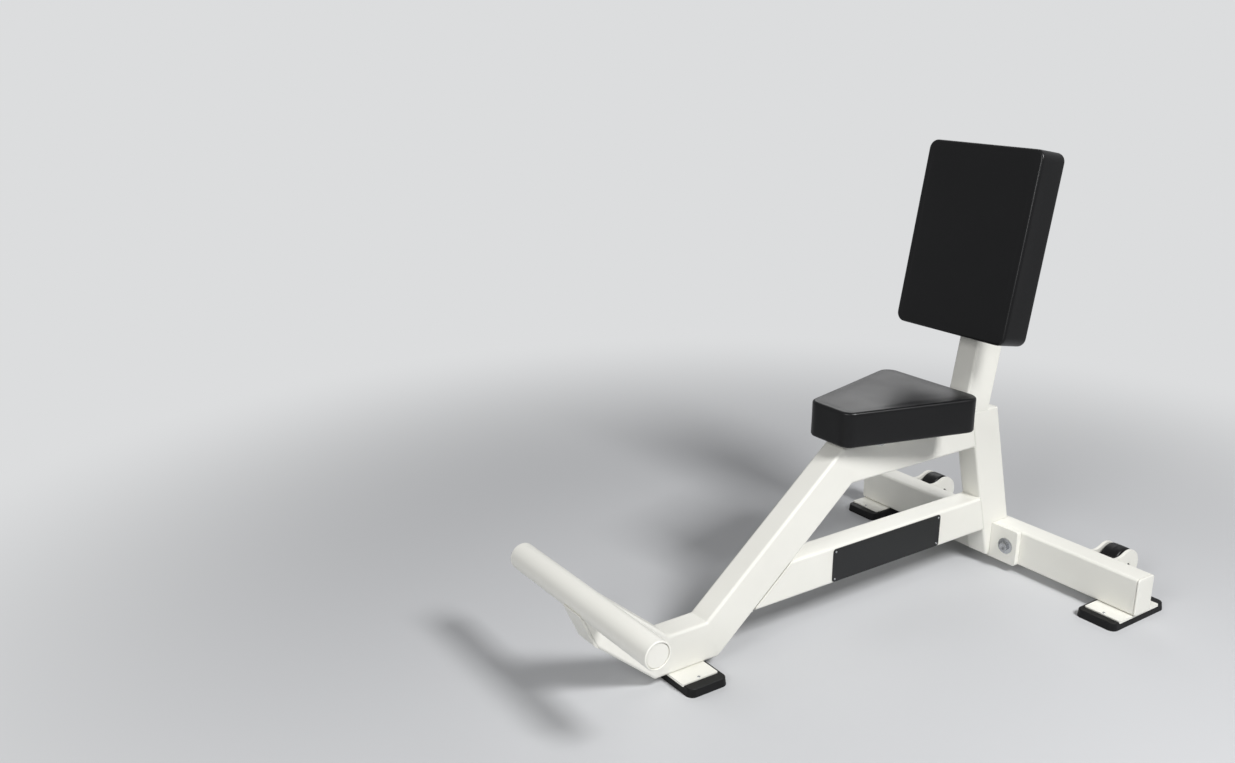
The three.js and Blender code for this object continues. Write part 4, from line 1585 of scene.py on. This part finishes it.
    def blow_up(self, piece: Object, fixed: np.ndarray) -> np.ndarray:
        """Run cloth under pressure.

        Args:
            piece: The pad's skin.
            fixed: Which points are held.

        Returns:
            The points' places afterwards.
        """
        held = piece.vertex_groups.new(name="held")
        held.add([int(i) for i in np.nonzero(fixed)[0]], 1.0, "REPLACE")
        cloth = piece.modifiers.new("pressure", "CLOTH")
        cloth.settings.quality = self.cloth_quality
        cloth.settings.mass = self.cloth_mass
        tension, shear, bending = self.stiffness
        cloth.settings.tension_stiffness = cloth.settings.compression_stiffness = tension
        cloth.settings.shear_stiffness = shear
        cloth.settings.bending_stiffness = bending
        cloth.settings.use_pressure = True
        cloth.settings.uniform_pressure_force = self.pressure
        cloth.settings.vertex_group_mass = held.name
        cloth.settings.effector_weights.gravity = 0
        cloth.point_cache.frame_start, cloth.point_cache.frame_end = 1, self.frames
        for number in range(1, self.frames + 1):
            bpy.context.scene.frame_set(number)
        dg = bpy.context.evaluated_depsgraph_get()
        blown = np.array([v.co for v in piece.evaluated_get(dg).data.vertices])
        piece.modifiers.remove(cloth)
        piece.vertex_groups.clear()
        bpy.context.scene.frame_set(1)
        return blown

    def swell(self, piece: Object) -> None:
        """Blow the skin up, and keep each point's move smooth and under its cap.

        Args:
            piece: The pad's skin in its own frame; its mesh is changed.
        """
        mesh = piece.data
        start = np.array([v.co for v in mesh.vertices])
        up = np.array([v.normal.z for v in mesh.vertices])
        fixed = (start[:, 2] < self.held_share * self.edge_mm * MM) | (up < self.under)
        move = self.blow_up(piece, fixed) - start
        length = np.linalg.norm(move, axis=1)
        # The foam's edges hold: the top may rise towards its middle, and the sides between edges
        spread = (self.rear_mm - self.front_mm) / 2 / self.length_mm
        half = (self.rear_mm + self.front_mm) / 4 * MM + spread * start[:, 1]
        to_end = self.length_mm / 2 * MM - np.abs(start[:, 1])
        inside = np.clip(np.minimum(half - np.abs(start[:, 0]), to_end), 0, None)
        on_top = self.top_cap_mm * (1 - np.exp(-inside / (self.firm_mm * MM)))
        level = np.clip(start[:, 2] / start[:, 2].max(), 0, 1)
        on_side = self.side_cap_mm * np.sin(math.pi * level)
        cap = np.where(up > self.over, on_top, on_side) * MM + 1e-6
        # A soft limit, so that no ridge shows where the cap begins
        move *= (cap * np.tanh(length / cap) / np.maximum(length, 1e-9))[:, None]
        ends = np.array([edge.vertices[:] for edge in mesh.edges])
        count = np.bincount(ends.ravel(), minlength=len(start))[:, None]
        for _ in range(self.smooth_rounds):
            total = np.zeros_like(move)
            np.add.at(total, ends[:, 0], move[ends[:, 1]])
            np.add.at(total, ends[:, 1], move[ends[:, 0]])
            kept, given = (1 - self.smooth_share) * move, self.smooth_share * total / count
            move = np.where(fixed[:, None], 0, kept + given)
        mesh.vertices.foreach_set("co", (start + move).ravel())
        mesh.update()
        LOG.info("%s swells up to %.1f mm", piece.name, np.linalg.norm(move, axis=1).max() / MM)

    def gather(self, mesh: bpy.types.Mesh) -> None:
        """Fold the vinyl into small pleats where it turns under the corners.

        Args:
            mesh: The smoothed skin in the pad's own frame; it is changed.
        """
        rear_x, front_x, y = self.arc_centres
        start, growth = self.pleat_start_mm
        end = self.rim_mm - self.pleat_end_mm
        full, crisp = self.pleat_powers
        for vertex in mesh.vertices:
            spot = vertex.co / MM
            if spot.z > self.edge_mm:
                continue
            across = math.copysign(rear_x if spot.y > 0 else front_x, spot.x)
            out = spot.xy - Vector((across, math.copysign(y, spot.y)))
            inset = self.corner_mm - out.length
            if min(out.x * spot.x, out.y * spot.y) <= 0 or inset > end:
                continue
            angle = math.atan2(abs(out.y), abs(out.x))
            ease = math.sin(2 * angle) ** full * min(1.0, max(0.0, inset - start) / growth)
            fold = abs(math.sin(angle * self.pleats)) ** crisp
            vertex.co.z -= self.pleat_mm * MM * ease * fold
        mesh.update()

    def staples(self) -> Object:
        """Set the wire staples that hold the vinyl round the board.

        Returns:
            The staples as one piece.
        """
        crown, wire, rise = (size * MM for size in self.staple_mm)
        ways = [(math.cos(a), self.wire_flat * wire * math.sin(a)) for a in self.wire_corners]
        rings = [
            [Vector((out * crown, wire * along, up * rise + high)) for along, high in ways]
            for out, up in self.staple_bends
        ]
        staple, zinc = shell_object("staple", rings), self.dresser.finishes[Slot.HARDWARE]
        name, pitch = f"{self.kind}_staples", self.staple_pitch_mm
        repeat = Repeat(name, staple, zinc, Pivot.UPRIGHT, pitch)
        made = repeat.along([self.outline(self.staple_inset_mm)], closed=True)
        made.data.transform(self.turn)
        return self.dresser.file(made, Slot.HARDWARE)


@dataclass
class NamePlate:
    """The riveted plate on the lower rail, left bare."""

    dresser: Dresser
    edge_mm: float = 0.4
    inset_mm: float = 6.0
    rivet_mm: float = 2.1
    # Height and radius up a rivet's domed head, as shares of its radius
    rivet_shares: tuple[Span, ...] = (
        (-0.3, 1.0), (0.12, 1.0), (0.32, 0.84), (0.46, 0.55), (0.52, 0.2),
    )
    rivet_steps: int = 16

    def build(self) -> list[Object]:
        """Build the plate and its rivets.

        Returns:
            The plate, and the rivets as one piece.
        """
        plate = self.dresser.dress("badge_plate", Slot.BADGE, edge_mm=self.edge_mm)
        low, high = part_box("badge_plate")
        inset, radius = self.inset_mm * MM, self.rivet_mm * MM
        ends = (low.y + inset, high.y - inset)
        spots = [Vector((high.x, y, z)) for y in ends for z in (low.z + inset, high.z - inset)]
        turns = [math.tau * i / self.rivet_steps for i in range(self.rivet_steps)]
        rings = [
            [Vector((up, out * math.cos(a), out * math.sin(a))) * radius for a in turns]
            for up, out in self.rivet_shares
        ]
        return [plate, self.dresser.fasten("badge_rivets", shell_object("rivet", rings), spots)]


@dataclass(frozen=True)
class Lamp:
    """A square soft lamp, in metres and watts."""

    name: str
    place: Triple
    size: float
    watts: float


@dataclass
class Studio:
    """Plain pale floor, soft lamps and the photograph's camera."""

    floor_colour: str = "CDCED0"
    floor_roughness: float = 0.75
    floor_radius: float = 12.0
    floor_steps: int = 96
    fade: Span = (0.8, 2.2)  # how far out the floor starts and ends to turn into the backdrop
    backdrop_colour: str = "DCDDDE"
    ambient_colour: str = "F4F6FA"
    ambient: float = 0.12
    mirrored: float = 0.5  # share of the backdrop in reflections, so that black vinyl stays black
    target: Triple = (0.0, 0.0, 0.3)
    lamps: tuple[Lamp, ...] = (
        Lamp("key", (2.3, 0.3, 2.75), 0.9, 104.0),
        Lamp("front", (1.0, -2.9, 1.9), 1.2, 44.0),
        Lamp("rim", (-2.2, 2.5, 2.1), 1.6, 13.0),
    )
    camera_place: Triple = (1.4624, -1.4997, 1.1185)
    camera_azimuth: float = 56.04
    camera_elevation: float = 17.14
    lens_mm: float = 33.4
    sensor_mm: float = 36.0
    clip: Span = (0.05, 60.0)

    def build(self) -> None:
        """Build the stage."""
        self.floor()
        self.world()
        for lamp in self.lamps:
            self.hang(lamp)
        self.camera()
        bpy.context.scene.view_settings.view_transform = "Standard"

    def seen(self, tree: NodeTree) -> NodeSocket:
        """Find how much of the backdrop a ray meets: all of it for the camera's, a share for
        reflections, and none for the rays that light the bench.

        Args:
            tree: The material's or world's nodes.

        Returns:
            The share.
        """
        ray = add_node(tree, "ShaderNodeLightPath").outputs
        share = ray["Is Glossy Ray"]
        for settings, links in (
            ({"operation": "MULTIPLY", 1: self.mirrored}, {}),
            ({"operation": "MAXIMUM"}, {1: ray["Is Camera Ray"]}),
            ({"operation": "MAXIMUM"}, {1: ray["Is Transmission Ray"]}),
        ):
            share = add_node(tree, "ShaderNodeMath", settings, {0: share} | links).outputs[0]
        return share

    def floor(self) -> None:
        """Lay a round floor of matt pale paint that fades into the backdrop."""
        paint = {"Base Color": linear(self.floor_colour), "Roughness": self.floor_roughness}
        draft = Draft("pale_floor", paint)
        tree, (low, high) = draft.tree, self.fade
        far = add_node(tree, "ShaderNodeVectorMath", {"operation": "LENGTH"}, {0: draft.place})
        ease = {"interpolation_type": "SMOOTHSTEP", "From Min": low, "From Max": high}
        amount = add_node(tree, "ShaderNodeMapRange", ease, {"Value": far.outputs["Value"]})
        dim = {"To Min": self.ambient, "To Max": 1.0}
        strength = add_node(tree, "ShaderNodeMapRange", dim, {"Value": self.seen(tree)})
        glow = {"Color": linear(self.backdrop_colour)}
        backdrop = add_node(tree, "ShaderNodeEmission", glow, {"Strength": strength.outputs[0]})
        shaders = {0: amount.outputs[0], 1: draft.shader.outputs["BSDF"], 2: backdrop.outputs[0]}
        mixed = add_node(tree, "ShaderNodeMixShader", links=shaders)
        tree.links.new(mixed.outputs["Shader"], draft.end.inputs["Surface"])
        bm, steps = bmesh.new(), self.floor_steps
        bmesh.ops.create_circle(bm, cap_ends=True, segments=steps, radius=self.floor_radius)
        piece = mesh_object("floor", bm)
        piece.data.materials.append(draft.material)

    def world(self) -> None:
        """Light evenly all round, and show the pale backdrop to the camera and reflections."""
        world = bpy.data.worlds.new("studio")
        bpy.context.scene.world = world
        world.use_nodes = True
        tree = world.node_tree
        tree.nodes.clear()
        links = {0: self.seen(tree)}
        looks = ((self.ambient_colour, self.ambient), (self.backdrop_colour, 1.0))
        for place, (colour, strength) in enumerate(looks, 1):
            settings = {"Color": linear(colour), "Strength": strength}
            light = add_node(tree, "ShaderNodeBackground", settings)
            links[place] = light.outputs["Background"]
        mixed = add_node(tree, "ShaderNodeMixShader", links=links).outputs["Shader"]
        add_node(tree, "ShaderNodeOutputWorld", links={"Surface": mixed})

    def hang(self, lamp: Lamp) -> None:
        """Hang a lamp.

        Args:
            lamp: The lamp.
        """
        data = bpy.data.lights.new(lamp.name, "AREA")
        data.size, data.energy = lamp.size, lamp.watts
        made = linked(lamp.name, data)
        made.location = lamp.place
        way = Vector(self.target) - Vector(lamp.place)
        made.rotation_euler = way.to_track_quat("-Z", "Y").to_euler()

    def camera(self) -> None:
        """Set up the photograph's camera, worked out from the frame's straight edges."""
        data = bpy.data.cameras.new("camera")
        data.sensor_width, data.lens = self.sensor_mm, self.lens_mm
        data.clip_start, data.clip_end = self.clip
        made = linked("camera", data)
        azimuth, elevation = map(math.radians, (self.camera_azimuth, self.camera_elevation))
        level = math.cos(elevation)
        back = (math.sin(azimuth) * level, -math.cos(azimuth) * level, math.sin(elevation))
        made.location = self.camera_place
        made.rotation_euler = (-Vector(back)).to_track_quat("-Z", "Y").to_euler()
        bpy.context.scene.camera = made


def main() -> None:
    """Build every sub-assembly and report its pieces."""
    logging.basicConfig(level=logging.INFO, format="%(name)s: %(message)s")
    dresser = Dresser(mix_finishes())
    # the pins' black oxide is real, and also kept dark as painted shade for the recess in each
    # ear's hole
    pin_oxide_and_hole_shade = Plating("black_oxide_steel", "29292B", "1A1A1B", (0.4, 0.52)).build()
    seat = Pad(
        dresser,
        "seat",
        front_mm=103.0,
        rear_mm=256.0,
        length_mm=289.4,
        corner_mm=25.0,
        centre_mm=(0.0, 102.708, 374.1),
        plate_mm=9.5,
        bolts_mm=(69.0, 29.3),
    )
    back = Pad(
        dresser,
        "back",
        front_mm=271.0,
        rear_mm=271.0,
        length_mm=372.5,
        corner_mm=19.0,
        centre_mm=(0.0, 373.113, 711.442),
        plate_mm=4.8,
        bolts_mm=(114.0, 0.0),
        lean_degrees=80.0,
    )
    groups = (
        Spine(dresser),
        FootBar(dresser),
        CrossBeam(dresser),
        *(TransportWheel(dresser, side, pin_oxide_and_hole_shade) for side in Side),
        FloorFoot(dresser, "front", ("left", "right")),
        *(FloorFoot(dresser, "rear", ("front", "rear"), side) for side in Side),
        seat,
        back,
        NamePlate(dresser),
    )
    for group in groups:
        pieces = group.build()
        LOG.info("%s: %d pieces", type(group).__name__, len(pieces))
    Studio().build()


if __name__ == "__main__":
    main()
